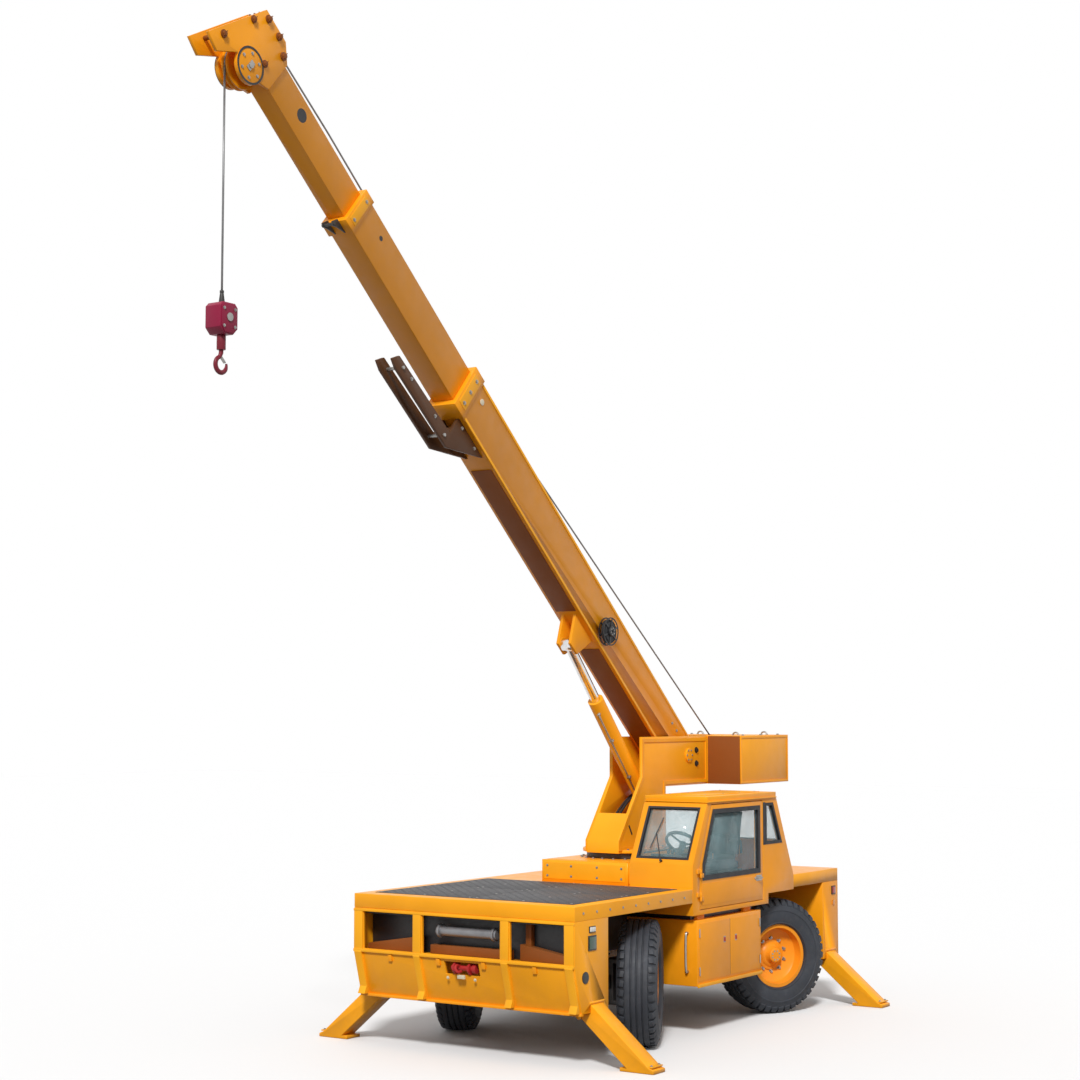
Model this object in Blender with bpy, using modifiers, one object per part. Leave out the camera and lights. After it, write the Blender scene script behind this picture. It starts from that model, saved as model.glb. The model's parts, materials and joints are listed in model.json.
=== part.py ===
"""Industrial carry-deck crane: one steel chassis with a load deck, four-wheel steering,
four slanted outriggers, a fixed cab on the left and a slewing turret with a
three-section telescopic boom.

Metres, +Z up, +X forward, +Y to the left.  Everything is modelled from the point on the
ground halfway between the bumpers; the root empty then moves the whole crane so that the
origin is the middle of its footprint.
"""

from math import atan2, cos, hypot, pi, radians, sin, sqrt

import bmesh
import bpy
from mathutils import Matrix, Vector

# ---------------------------------------------------------------- driving dimensions
GAP = 0.0003                # between faces that touch
RUNNING_GAP = 0.006         # between faces that slide or turn past each other

# body
BODY_HALF_WIDTH = 1.22
BODY_FRONT = 2.60
BODY_REAR = -2.60
BUMPER_BOTTOM = 0.47        # lower edge of the front and rear bodies
DECK_TOP = 1.40
DECK_THICKNESS = 0.13       # also the depth of the side band
FRONT_BODY_LENGTH = 0.55
REAR_BODY_LENGTH = 0.37
BODY_WALL = 0.03
RAKE = 0.12                 # how far the lower front plate slopes back
SILL_HEIGHT = 0.88          # lower edge of the three openings in the nose

# wheels
FRONT_AXLE_X = 1.18
REAR_AXLE_X = -1.53
TYRE_RADIUS = 0.58
TYRE_WIDTH = 0.38
TRACK_HALF = 1.00
KINGPIN_Y = 0.86
RIM_RADIUS = 0.30
STEER_REST = radians(27)    # front wheels to the left, rear wheels the other way

# frame
RAIL_OUTER = 0.44
RAIL_WIDTH = 0.08
RAIL_BOTTOM = 0.80
AXLE_RADIUS = 0.09

# platform, cab and side boxes
PLATFORM_TOP = 1.615
PLATFORM_REAR = -1.40
CAB_FRONT = 0.54
CAB_REAR = -1.56
CAB_INNER = 0.52
CAB_BOTTOM = 1.15
CAB_ARCH_BOTTOM = 1.25
CAB_ARCH_FRONT = -1.00
CAB_TOP = 2.262
CAB_WALL = 0.05
ROOF_THICKNESS = 0.05
ROOF_FRONT = 0.22
ROOF_REAR = -1.16
WAIST = 1.62                # foot of the windscreen
SEAT_HEIGHT = 1.61
SEAT_THICKNESS = 0.11
GLASS = 0.006
BOX_FRONT = 0.46
BOX_REAR = -0.83
BOX_BOTTOM = 0.48
BOX_TOP = 1.10

# turret
SLEW_X = -0.25
SLEW_RADIUS = 0.40
SLEW_HEIGHT = 0.06
COLUMN_RADIUS = 0.50        # nothing that slews below the cab roof leaves this circle
TURRET_OUTER = 0.19
TURRET_PLATE = 0.03
TURRET_TOP = 2.82
TAIL_BOTTOM = 2.31
TAIL_FRONT = -1.60
TAIL_REAR = -2.70
TAIL_HALF_WIDTH = 0.59
WINCH_X = -2.05
WINCH_Z = 2.62
WINCH_RADIUS = 0.16
WINCH_WIDTH = 0.28

# boom, in its own frame: X along the boom from the foot pin, Z square to it
PIVOT_X = -1.20
PIVOT_Z = 2.62
BOOM_REST = radians(41)
BOOM_DROP = 0.03            # centre line below the foot pin
BASE_WIDTH = 0.29
BASE_HEIGHT = 0.47
MID_WIDTH = 0.235
MID_HEIGHT = 0.39
TIP_WIDTH = 0.18
TIP_HEIGHT = 0.315
BASE_HEAD = 5.23            # distances from the foot pin with the boom at rest
MID_HEAD = 7.28
TIP_HEAD = 8.70
MID_LENGTH = 4.90
TIP_LENGTH = 4.75
BOOM_TAIL = 0.09
COLLAR = 0.018              # how far a section's head collar stands proud

# lift cylinder
FOOT_X = -0.62
FOOT_Z = 2.14
EYE_ALONG = 2.25            # rod eye along the boom
EYE_BELOW = 0.48            # and below the line of the foot pin
BARREL_RADIUS = 0.08
BARREL_LENGTH = 1.42
ROD_RADIUS = 0.05
ROD_LENGTH = 1.40
FOOT_PIN_RADIUS = 0.035
FOOT_EYE_RADIUS = 0.085
BOOM_PIN_RADIUS = 0.05

# hoist
SHEAVE_ALONG = 8.84
SHEAVE_BELOW = 0.254
SHEAVE_RADIUS = 0.18
SHEAVE_WIDTH = 0.06
ROPE_RADIUS = 0.009
ROPE_FALL = 1.94            # from the sheave centre to the top of the hook block
BLOCK_WIDTH = 0.20
BLOCK_HEIGHT = 0.25

# outriggers
LEG_ANGLE = radians(40)
LEG_WIDTH = 0.20
LEG_HEIGHT = 0.16
FRONT_LEG_X = 2.24
REAR_LEG_X = -2.41
FOOT_TIP_Y = 1.85
LEG_REACH = 1.18            # length of the leg from its foot to its inner end
SLEEVE_MOUTH = 0.76         # from the foot up to the sleeve's mouth, flush with the side
SLEEVE_LENGTH = 0.66
SLEEVE_WALL = 0.02

# door
DOOR_GAP = 0.007
HINGE_X = 0.4025
HINGE_RADIUS = 0.012
HINGE_HEIGHT = 0.04
HINGES = (1.28, 1.50)       # heights of the two hinges

# cable reel on the left side of the boom
REEL_ALONG = 2.02
REEL_BELOW = 0.10
REEL_RADIUS = 0.14

# corner: name, axle x, side
CORNERS = (("front_left", FRONT_AXLE_X, 1), ("front_right", FRONT_AXLE_X, -1),
           ("rear_left", REAR_AXLE_X, 1), ("rear_right", REAR_AXLE_X, -1))

SEGMENTS = 32

crane = bpy.data.collections.new("carry_deck_crane")
helpers = bpy.data.collections.new("cutters")

# ---------------------------------------------------------------- helpers


def material(name, color, roughness, metallic=0.0):
    """A Principled material in the piece's own colour."""
    made = bpy.data.materials.new(name)
    made.use_nodes = True
    shader = made.node_tree.nodes["Principled BSDF"]
    shader.inputs["Base Color"].default_value = (*color, 1.0)
    shader.inputs["Roughness"].default_value = roughness
    shader.inputs["Metallic"].default_value = metallic
    return made


def clear_scene():
    for obj in list(bpy.data.objects):
        bpy.data.objects.remove(obj, do_unlink=True)


def empty(name, parent=None, location=(0, 0, 0), rotation=(0, 0, 0)):
    """An axis or frame that pieces hang from."""
    made = bpy.data.objects.new(name, None)
    crane.objects.link(made)
    made.parent = parent
    made.location = location
    made.rotation_euler = rotation
    return made


def from_bmesh(name, mesh, parent):
    data = bpy.data.meshes.new(name)
    mesh.to_mesh(data)
    mesh.free()
    made = bpy.data.objects.new(name, data)
    crane.objects.link(made)
    made.parent = parent
    return made


def box(name, low, high, parent):
    """A box between two opposite corners, in the parent's frame."""
    mesh = bmesh.new()
    bmesh.ops.create_cube(mesh, size=1.0)
    low, high = Vector(low), Vector(high)
    bmesh.ops.scale(mesh, vec=high - low, verts=mesh.verts)
    bmesh.ops.translate(mesh, vec=(low + high) / 2, verts=mesh.verts)
    return from_bmesh(name, mesh, parent)


def rod(name, radius, start, end, parent, segments=SEGMENTS):
    """A round bar from start to end."""
    mesh = bmesh.new()
    start, end = Vector(start), Vector(end)
    along = end - start
    bmesh.ops.create_cone(mesh, cap_ends=True, segments=segments,
                          radius1=radius, radius2=radius, depth=along.length)
    made = from_bmesh(name, mesh, parent)
    made.data.transform(along.to_track_quat("Z", "Y").to_matrix().to_4x4())
    made.data.transform(Matrix.Translation((start + end) / 2))
    smooth(made)
    return made


def plate(name, outline, low, high, parent, axis="Y"):
    """A flat outline, extruded from low to high along one axis.

    The outline is (x, z) for axis Y and (y, z) for axis X and (x, y) for axis Z.
    """
    curve = bpy.data.curves.new(name, "CURVE")
    curve.dimensions = "2D"
    curve.fill_mode = "BOTH"
    curve.extrude = (high - low) / 2
    spline = curve.splines.new("POLY")
    spline.points.add(len(outline) - 1)
    for point, (across, up) in zip(spline.points, outline):
        point.co = (across, up, 0.0, 1.0)
    spline.use_cyclic_u = True
    drawn = bpy.data.objects.new(name + "_outline", curve)
    bpy.context.scene.collection.objects.link(drawn)
    graph = bpy.context.evaluated_depsgraph_get()
    data = bpy.data.meshes.new_from_object(drawn.evaluated_get(graph))
    bpy.data.objects.remove(drawn, do_unlink=True)
    middle = (low + high) / 2
    turn = {"X": Matrix(((0, 0, 1, middle), (1, 0, 0, 0), (0, 1, 0, 0), (0, 0, 0, 1))),
            "Y": Matrix(((1, 0, 0, 0), (0, 0, -1, middle), (0, 1, 0, 0), (0, 0, 0, 1))),
            "Z": Matrix.Translation((0, 0, middle))}[axis]
    data.transform(turn)
    mesh = bmesh.new()
    mesh.from_mesh(data)
    bmesh.ops.remove_doubles(mesh, verts=mesh.verts, dist=1e-5)
    bmesh.ops.recalc_face_normals(mesh, faces=mesh.faces)
    return from_bmesh(name, mesh, parent)


def turned(name, profile, parent, segments=SEGMENTS):
    """A profile of (radius, y) points, down its outer side, turned round the Y axis."""
    mesh = bmesh.new()
    points = [mesh.verts.new((radius, 0, height)) for radius, height in profile]
    closed = profile[0][0] > 0 and profile[-1][0] > 0
    for first, second in zip(points, points[1:] + points[:1] if closed else points[1:]):
        mesh.edges.new((first, second))
    made = from_bmesh(name, mesh, parent)
    screw = made.modifiers.new("turn", "SCREW")
    screw.axis = "Z"
    screw.steps = segments
    screw.render_steps = segments
    screw.use_merge_vertices = True
    screw.merge_threshold = 0.0001
    made.rotation_euler = (-pi / 2, 0, 0)
    return made


def smooth(obj, angle=radians(40)):
    obj.data.shade_smooth()
    obj.data.set_sharp_from_angle(angle=angle)


def combine(target, tools, operation):
    """Boolean tools onto or out of the target; the tools become helpers."""
    for tool in tools:
        modifier = target.modifiers.new(tool.name, "BOOLEAN")
        modifier.operation = operation
        modifier.solver = "EXACT"
        modifier.object = tool
        crane.objects.unlink(tool)
        helpers.objects.link(tool)
        tool.hide_render = True
        tool.display_type = "WIRE"
    return target


def join(target, *tools):
    return combine(target, tools, "UNION")


def cut(target, *tools):
    return combine(target, tools, "DIFFERENCE")


def finish(obj, look):
    obj.data.materials.clear()
    obj.data.materials.append(look)
    return obj


def inset(outline, distance):
    """The outline moved inwards by a distance, each edge square to itself."""
    area = sum(a[0] * b[1] - b[0] * a[1] for a, b in zip(outline, outline[1:] + outline[:1]))
    turn = 1 if area > 0 else -1
    lines = []
    for (ax, ay), (bx, by) in zip(outline, outline[1:] + outline[:1]):
        length = hypot(bx - ax, by - ay)
        nx, ny = -(by - ay) / length * turn, (bx - ax) / length * turn
        lines.append((nx, ny, nx * (ax + nx * distance) + ny * (ay + ny * distance)))
    moved = []
    for (a, b, c), (d, e, f) in zip(lines[-1:] + lines[:-1], lines):
        scale = a * e - b * d
        moved.append(((c * e - b * f) / scale, (a * f - c * d) / scale))
    return moved


def bore_radius(pin_radius):
    """A faceted bore that a pin of this radius turns in without touching."""
    return (pin_radius + 0.0004) / cos(pi / SEGMENTS)


# ---------------------------------------------------------------- chassis


def make_frame(root):
    """Two deep rails under the deck, tied by cross members."""
    top = DECK_TOP - DECK_THICKNESS - GAP
    front = BODY_FRONT - FRONT_BODY_LENGTH - GAP
    rear = BODY_REAR + REAR_BODY_LENGTH + GAP
    inner = RAIL_OUTER - RAIL_WIDTH
    rails = [box(f"rail_{side}", (rear, min(side * inner, side * RAIL_OUTER), RAIL_BOTTOM),
                 (front, max(side * inner, side * RAIL_OUTER), top), root) for side in (1, -1)]
    members = [box(f"cross_member_{x:.1f}", (x, -inner - 0.01, RAIL_BOTTOM + 0.06),
                   (x + 0.12, inner + 0.01, top - 0.06), root)
               for x in (front - 0.14, 0.62, -0.10, -0.95, rear + 0.02)]
    rails[0].name = "chassis_frame"
    return finish(join(rails[0], rails[1], *members), DARK)


def make_engine(root):
    inner = RAIL_OUTER - RAIL_WIDTH - GAP
    return finish(box("engine_block", (-2.05, -inner, 0.90), (-1.15, inner, 1.24), root), CAST)


def make_deck(root):
    """The load deck, cut out round the cab."""
    side = BODY_HALF_WIDTH
    inner = CAB_INNER - GAP
    outline = [(BODY_FRONT, -side), (BODY_FRONT, side), (CAB_FRONT + GAP, side),
               (CAB_FRONT + GAP, inner), (CAB_REAR - GAP, inner), (CAB_REAR - GAP, side),
               (BODY_REAR, side), (BODY_REAR, -side)]
    deck = plate("deck", outline, DECK_TOP - DECK_THICKNESS, DECK_TOP, root, "Z")
    return finish(deck, YELLOW)


def make_platform(root):
    """The raised floor that carries the slewing ring."""
    return finish(box("turret_platform", (PLATFORM_REAR, -CAB_INNER + 0.02, DECK_TOP + GAP),
                      (CAB_FRONT, CAB_INNER - 0.02, PLATFORM_TOP), root), YELLOW)


def leg_frame(root, name, x, side):
    """A frame whose +Y runs down and out along a leg, at the outer end of its top edge."""
    return empty(name, root, (x, side * (FOOT_TIP_Y - 0.05), 0.05),
                 (-LEG_ANGLE, 0, 0 if side > 0 else pi))


def make_sleeve(name, frame):
    """The slanted tube that a leg slides in, as one solid and the tool that hollows it."""
    wall = SLEEVE_WALL
    mouth = SLEEVE_MOUTH
    length = SLEEVE_LENGTH
    slide = GAP * 2
    half = LEG_WIDTH / 2
    outer = box(name, (-half - slide - wall, -mouth - length, -LEG_HEIGHT - slide - wall),
                (half + slide + wall, -mouth, slide + wall), frame)
    hollow = box(name + "_bore", (-half - slide, -mouth - length - 0.1, -LEG_HEIGHT - slide),
                 (half + slide, -mouth + 0.1, slide), frame)
    return outer, hollow


def make_hangers(name, rear, front, root):
    """Webs that carry the two sleeves from a cross wall."""
    webs = []
    for side in (1, -1):
        ys = sorted((side * 0.78, side * 0.84))
        webs.append(box(f"{name}_hanger_{side}", (rear, ys[0], 0.74), (front, ys[1], 1.20), root))
    return webs


def make_front_body(root, frames):
    """The nose: a raked front plate with three openings, sides, a back and the leg sleeves."""
    back = BODY_FRONT - FRONT_BODY_LENGTH
    top = DECK_TOP - DECK_THICKNESS - GAP
    side = BODY_HALF_WIDTH
    low = BUMPER_BOTTOM
    outline = [(back, low), (BODY_FRONT - RAKE, low), (BODY_FRONT, SILL_HEIGHT),
               (BODY_FRONT, top), (back, top)]
    body = plate("front_body", outline, -side, side, root)
    wall = BODY_WALL
    inside = inset([(back, low - 0.4), (BODY_FRONT - RAKE, low - 0.4),
                    (BODY_FRONT - RAKE, low), (BODY_FRONT, SILL_HEIGHT),
                    (BODY_FRONT, top + 0.2), (back, top + 0.2)], wall)
    tools = [plate("nose_inside", inside, -side + wall, side - wall, root)]
    for number, (left, right) in enumerate(((0.54, 1.11), (-0.43, 0.43), (-1.11, -0.54))):
        tools.append(box(f"nose_opening_{number}",
                         (BODY_FRONT - 0.10, left, SILL_HEIGHT + 0.02),
                         (BODY_FRONT + 0.05, right, top - 0.03), root))
    tools.append(box("tow_pocket", (BODY_FRONT - 0.30, -0.19, SILL_HEIGHT - 0.15),
                     (BODY_FRONT + 0.05, 0.19, SILL_HEIGHT - 0.035), root))
    cut(body, *tools)
    shelf = box("nose_shelf", (FRONT_LEG_X + 0.14, -side + wall / 2, SILL_HEIGHT - 0.03),
                (BODY_FRONT - wall / 2, side - wall / 2, SILL_HEIGHT), root)
    webs = [box(f"nose_web_{y}", (FRONT_LEG_X + 0.14, y - 0.015, low + 0.03),
                (BODY_FRONT - RAKE, y + 0.015, SILL_HEIGHT - 0.02), root)
            for y in (-0.485, 0.485)]
    join(body, shelf, *webs)
    join(body, *make_hangers("nose", back + wall / 2, FRONT_LEG_X - LEG_WIDTH / 2 - 0.01, root))
    sleeves = [make_sleeve(f"nose_sleeve_{index}", frame) for index, frame in enumerate(frames)]
    join(body, *[outer for outer, _ in sleeves])
    cut(body, *[bore for _, bore in sleeves])
    return finish(body, YELLOW)


def make_rear_body(root, frames):
    """The rear bumper box with the rear leg sleeves in it."""
    front = BODY_REAR + REAR_BODY_LENGTH
    top = DECK_TOP - DECK_THICKNESS - GAP
    side = BODY_HALF_WIDTH
    wall = BODY_WALL
    body = box("rear_body", (BODY_REAR, -side, BUMPER_BOTTOM), (front, side, top), root)
    cut(body, box("tail_inside", (BODY_REAR + wall, -side + wall, BUMPER_BOTTOM - 0.2),
                  (front - wall, side - wall, top + 0.2), root))
    join(body, *make_hangers("tail", REAR_LEG_X + LEG_WIDTH / 2 + 0.01, front - wall / 2, root))
    sleeves = [make_sleeve(f"tail_sleeve_{index}", frame) for index, frame in enumerate(frames)]
    join(body, *[outer for outer, _ in sleeves])
    cut(body, *[bore for _, bore in sleeves])
    return finish(body, ORANGE)


def make_leg(name, frame):
    """A box leg with a flat foot, in its slide frame."""
    reach = LEG_REACH
    down = -0.05

    def slide(across, up):
        return (across * cos(LEG_ANGLE) - up * sin(LEG_ANGLE),
                across * sin(LEG_ANGLE) + up * cos(LEG_ANGLE))

    under = (LEG_HEIGHT * cos(LEG_ANGLE) - 0.02) / sin(LEG_ANGLE)
    foot_start = -LEG_HEIGHT * sin(LEG_ANGLE) - under * cos(LEG_ANGLE)
    outline = [slide(0, 0), slide(0.05, -0.02), slide(0.05, down), slide(-0.29, down),
               slide(-0.29, -0.02), slide(foot_start, -0.02),
               (-reach, -LEG_HEIGHT), (-reach, 0)]
    leg = plate(name, outline, -LEG_WIDTH / 2, LEG_WIDTH / 2, frame, "X")
    return finish(leg, YELLOW)


def make_side_box(root, name, side):
    """The locker between the wheels; the left one carries the cab on four pads."""
    inner = RAIL_OUTER + GAP
    ys = sorted((side * inner, side * BODY_HALF_WIDTH))
    made = box(name, (BOX_REAR, ys[0], BOX_BOTTOM), (BOX_FRONT, ys[1], BOX_TOP), root)
    if side > 0:
        top = CAB_BOTTOM - GAP
    else:
        top = DECK_TOP - DECK_THICKNESS - GAP
    pads = []
    for x in (BOX_REAR + 0.10, BOX_FRONT - 0.25):
        for y in (0.62, 1.06):
            ends = sorted((side * y, side * (y + 0.10)))
            pads.append(box(f"{name}_pad_{x}_{y}", (x, ends[0], BOX_TOP - 0.02),
                            (x + 0.15, ends[1], top), root))
    return finish(join(made, *pads), ORANGE)


# ---------------------------------------------------------------- running gear


def make_axle(root, name, x):
    """A rigid axle with a differential bulge, spring pads and a fork at each end."""
    height = TYRE_RADIUS
    fork_half = 0.17
    fork_arm = 0.04
    made = rod(name, AXLE_RADIUS, (x, -0.74, height), (x, 0.74, height), root)
    bulge = rod(name + "_diff", 0.17, (x, -0.14, height), (x, 0.14, height), root)
    tools = [bulge]
    for side in (1, -1):
        ys = sorted((side * (RAIL_OUTER - RAIL_WIDTH), side * RAIL_OUTER))
        tools.append(box(f"{name}_seat_{side}", (x - 0.11, ys[0], height),
                         (x + 0.11, ys[1], RAIL_BOTTOM - GAP), root))
        ys = sorted((side * 0.70, side * 0.765))
        tools.append(box(f"{name}_yoke_{side}", (x - 0.06, ys[0], height - fork_half - fork_arm),
                         (x + 0.06, ys[1], height + fork_half + fork_arm), root))
        ys = sorted((side * 0.70, side * (KINGPIN_Y + 0.06)))
        for up in (1, -1):
            zs = sorted((height + up * fork_half, height + up * (fork_half + fork_arm)))
            tools.append(box(f"{name}_arm_{side}_{up}", (x - 0.06, ys[0], zs[0]),
                             (x + 0.06, ys[1], zs[1]), root))
    return finish(join(made, *tools), DARK)


def make_knuckle(name, axis):
    """The kingpin post and spindle; +Y of the steering axis points out of the vehicle."""
    post = rod(name, 0.055, (0, 0, -0.17 + GAP), (0, 0, 0.17 - GAP), axis)
    spindle = rod(name + "_spindle", 0.06, (0, 0, 0), (0, TRACK_HALF - KINGPIN_Y - 0.02, 0), axis)
    flange = rod(name + "_flange", 0.11, (0, 0.065, 0), (0, 0.085, 0), axis)
    return finish(join(post, spindle, flange), DARK)


def make_rim(name, axis):
    """A deep-dished disc wheel, its disc a little outside the middle of the tyre."""
    half = TYRE_WIDTH * 0.40
    radius = RIM_RADIUS
    disc = -0.02 + GAP
    profile = [(radius - 0.02, half), (radius + 0.02, half), (radius + 0.02, half - 0.02),
               (radius, half - 0.05), (radius, -half + 0.05), (radius + 0.02, -half + 0.02),
               (radius + 0.02, -half), (radius - 0.02, -half), (radius - 0.02, disc),
               (0, disc), (0, 0.11), (0.075, 0.11), (0.09, 0.05), (0.13, 0.03),
               (0.22, 0.03), (radius - 0.02, 0.06)]
    start = profile.index((0, disc))
    ordered = profile[start + 1:] + profile[:start + 1]
    made = turned(name, ordered, axis)
    smooth(made)
    return finish(made, RIM)


def make_tyre(name, axis):
    """A wide tyre with rounded shoulders."""
    half = TYRE_WIDTH / 2
    seat = RIM_RADIUS + GAP
    bead = TYRE_WIDTH * 0.40 - 0.051
    profile = [(seat + 0.03, half - 0.015), (0.42, half), (TYRE_RADIUS - 0.08, half - 0.01),
               (TYRE_RADIUS - 0.02, half - 0.05), (TYRE_RADIUS, half - 0.09)]
    profile += [(radius, -across) for radius, across in reversed(profile)]
    profile += [(seat + 0.021, -bead - 0.031), (seat, -bead), (seat, bead),
                (seat + 0.021, bead + 0.031)]
    made = turned(name, profile, axis)
    smooth(made)
    return finish(made, RUBBER)


# ---------------------------------------------------------------- cab


def windscreen_x(height):
    return CAB_FRONT + (height - WAIST) * (ROOF_FRONT - CAB_FRONT) / (CAB_TOP - WAIST)


def rear_pillar_x(height):
    return CAB_REAR + (height - DECK_TOP) * (ROOF_REAR - CAB_REAR) / (CAB_TOP - DECK_TOP)


def cab_outline(top):
    return [(CAB_FRONT, CAB_BOTTOM), (CAB_FRONT, WAIST), (windscreen_x(top), top),
            (rear_pillar_x(top), top), (CAB_REAR, DECK_TOP), (CAB_REAR, CAB_ARCH_BOTTOM),
            (CAB_ARCH_FRONT, CAB_ARCH_BOTTOM), (CAB_ARCH_FRONT, CAB_BOTTOM)]


DOOR_OUTLINE = [(0.40, 1.20), (0.40, 1.60), (0.16, 2.18), (-0.88, 2.18), (-0.88, 1.20)]
DOOR_WINDOW = [(0.32, 1.50), (0.32, 1.62), (0.12, 2.11), (-0.80, 2.11), (-0.80, 1.50)]
QUARTER_WINDOW = [(-0.96, 1.76), (-0.96, 2.14), (-1.10, 2.14), (-1.28, 1.76)]
RIGHT_WINDOW = [(0.36, 1.70), (0.16, 2.14), (-1.06, 2.14), (-1.24, 1.76), (-0.60, 1.70)]
SCREEN_LOW, SCREEN_HIGH = 1.68, 2.15
REAR_LOW, REAR_HIGH = 1.76, 2.14
SCREEN_SIDE = 0.07


def band(line, low, high, inner, outer):
    """A slanted strip that follows a pillar line, between two distances from it."""
    return [(line(low) + inner, low), (line(low) + outer, low),
            (line(high) + outer, high), (line(high) + inner, high)]


def make_cab(root):
    """The cab's welded walls and floor, with its door hole and windows cut."""
    roof_seat = CAB_TOP - ROOF_THICKNESS - GAP
    shell = plate("cab_shell", cab_outline(roof_seat), CAB_INNER, BODY_HALF_WIDTH, root)
    inside = inset(cab_outline(CAB_TOP + 0.3), CAB_WALL)
    ends = (CAB_INNER + SCREEN_SIDE, BODY_HALF_WIDTH - SCREEN_SIDE)
    outer = BODY_HALF_WIDTH
    tools = [plate("cab_inside", inside, CAB_INNER + CAB_WALL, outer - CAB_WALL, root),
             plate("door_hole", inset(DOOR_OUTLINE, -DOOR_GAP), outer - 0.08, outer + 0.05, root),
             plate("quarter_hole", QUARTER_WINDOW, outer - 0.08, outer + 0.05, root),
             plate("right_hole", RIGHT_WINDOW, CAB_INNER - 0.05, CAB_INNER + 0.08, root),
             plate("screen_hole", band(windscreen_x, SCREEN_LOW, SCREEN_HIGH, -0.15, 0.1),
                   *ends, root),
             plate("rear_hole", band(rear_pillar_x, REAR_LOW, REAR_HIGH, -0.1, 0.15),
                   *ends, root)]
    cut(shell, *tools)
    axis_y = outer + HINGE_RADIUS
    for height in HINGES:
        low = height + HINGE_HEIGHT + GAP
        knuckle = rod(f"cab_hinge_{height}", HINGE_RADIUS, (HINGE_X, axis_y, low),
                      (HINGE_X, axis_y, low + HINGE_HEIGHT), root, 16)
        leaf = box(f"cab_leaf_{height}", (HINGE_X, outer - 0.004, low),
                   (HINGE_X + 0.06, outer + HINGE_RADIUS, low + HINGE_HEIGHT), root)
        join(shell, knuckle, leaf)
    return finish(shell, ORANGE)


def make_cab_glass(root):
    ends = (CAB_INNER + SCREEN_SIDE + GAP, BODY_HALF_WIDTH - SCREEN_SIDE - GAP)
    outer = BODY_HALF_WIDTH - CAB_WALL / 2
    inner = CAB_INNER + CAB_WALL / 2
    panes = [
        plate("windscreen", band(windscreen_x, SCREEN_LOW + GAP, SCREEN_HIGH - GAP,
                                 -0.030 - GLASS, -0.030), *ends, root),
        plate("rear_glass", band(rear_pillar_x, REAR_LOW + GAP, REAR_HIGH - GAP,
                                 0.030, 0.030 + GLASS), *ends, root),
        plate("quarter_glass", inset(QUARTER_WINDOW, GAP), outer, outer + GLASS, root),
        plate("right_glass", inset(RIGHT_WINDOW, GAP), inner, inner + GLASS, root)]
    for pane in panes:
        finish(pane, GLASS_LOOK)


def make_roof(root):
    low = CAB_TOP - ROOF_THICKNESS
    outline = [(windscreen_x(low), CAB_INNER), (windscreen_x(low), BODY_HALF_WIDTH),
               (rear_pillar_x(low), BODY_HALF_WIDTH), (rear_pillar_x(low), CAB_INNER)]
    return finish(plate("cab_roof", outline, low, CAB_TOP, root, "Z"), ORANGE)


def make_door(axis):
    """The door and its pane, in the frame of its front hinge line."""

    def shift(outline):
        return [(x - HINGE_X, z) for x, z in outline]

    face = -HINGE_RADIUS
    door = plate("cab_door", shift(DOOR_OUTLINE), face - CAB_WALL, face, axis)
    cut(door, plate("door_window", shift(DOOR_WINDOW), -0.1, 0.05, axis))
    for height in HINGES:
        high = height + HINGE_HEIGHT
        knuckle = rod(f"door_hinge_{height}", HINGE_RADIUS, (0, 0, height), (0, 0, high), axis, 16)
        leaf = box(f"door_leaf_{height}", (-0.06, face - 0.004, height), (0, 0, high), axis)
        join(door, knuckle, leaf)
    finish(door, ORANGE)
    middle = face - CAB_WALL / 2
    pane = plate("door_glass", inset(shift(DOOR_WINDOW), GAP), middle, middle + GLASS, axis)
    finish(pane, GLASS_LOOK)
    return door


def make_seat(root):
    """Pedestal, cushion and raked back, as one solid."""
    floor = CAB_BOTTOM + CAB_WALL + GAP
    cushion = SEAT_HEIGHT - SEAT_THICKNESS
    seat = box("operator_seat", (-0.74, 0.64, cushion), (-0.22, 1.08, SEAT_HEIGHT), root)
    pedestal = box("seat_pedestal", (-0.68, 0.70, floor), (-0.28, 1.02, cushion + 0.01), root)
    back = plate("seat_back", [(-0.72, SEAT_HEIGHT - 0.01), (-0.62, SEAT_HEIGHT - 0.01),
                               (-0.74, 2.10), (-0.84, 2.10)], 0.66, 1.06, root)
    return finish(join(seat, pedestal, back), SEAT)


def make_console(root):
    """The dash at the foot of the windscreen, with the steering column on it."""
    floor = CAB_BOTTOM + CAB_WALL + GAP
    outline = [(0.16, floor), (0.46, floor), (0.46, 1.60), (0.30, 1.68), (0.20, 1.62)]
    console = plate("console", outline, 0.60, 1.14, root)
    join(console, rod("steering_column", 0.03, (0.27, 0.86, 1.60), (0.10, 0.86, 1.78), root, 16))
    finish(console, DARK)
    tilt = atan2(0.27 - 0.10, 1.78 - 1.60)
    centre = Vector((0.10, 0.86, 1.78)) + Vector((-sin(tilt), 0, cos(tilt))) * (0.012 + GAP)
    frame = empty("steering_wheel_axis", root, centre, (0, -tilt, 0))
    wheel = turned("steering_wheel", [(0.185, 0.012), (0.185, -0.012), (0.160, -0.012),
                                      (0.160, 0.012)], frame, 24)
    wheel.rotation_euler = (0, 0, 0)
    hub = rod("steering_hub", 0.035, (0, 0, -0.012), (0, 0, 0.012), frame, 16)
    spokes = [rod(f"steering_spoke_{turn}", 0.010, (0, 0, 0),
                  (0.17 * cos(radians(turn)), 0.17 * sin(radians(turn)), 0), frame, 8)
              for turn in (90, 210, 330)]
    finish(join(wheel, hub, *spokes), RUBBER)


# ---------------------------------------------------------------- turret


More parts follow.
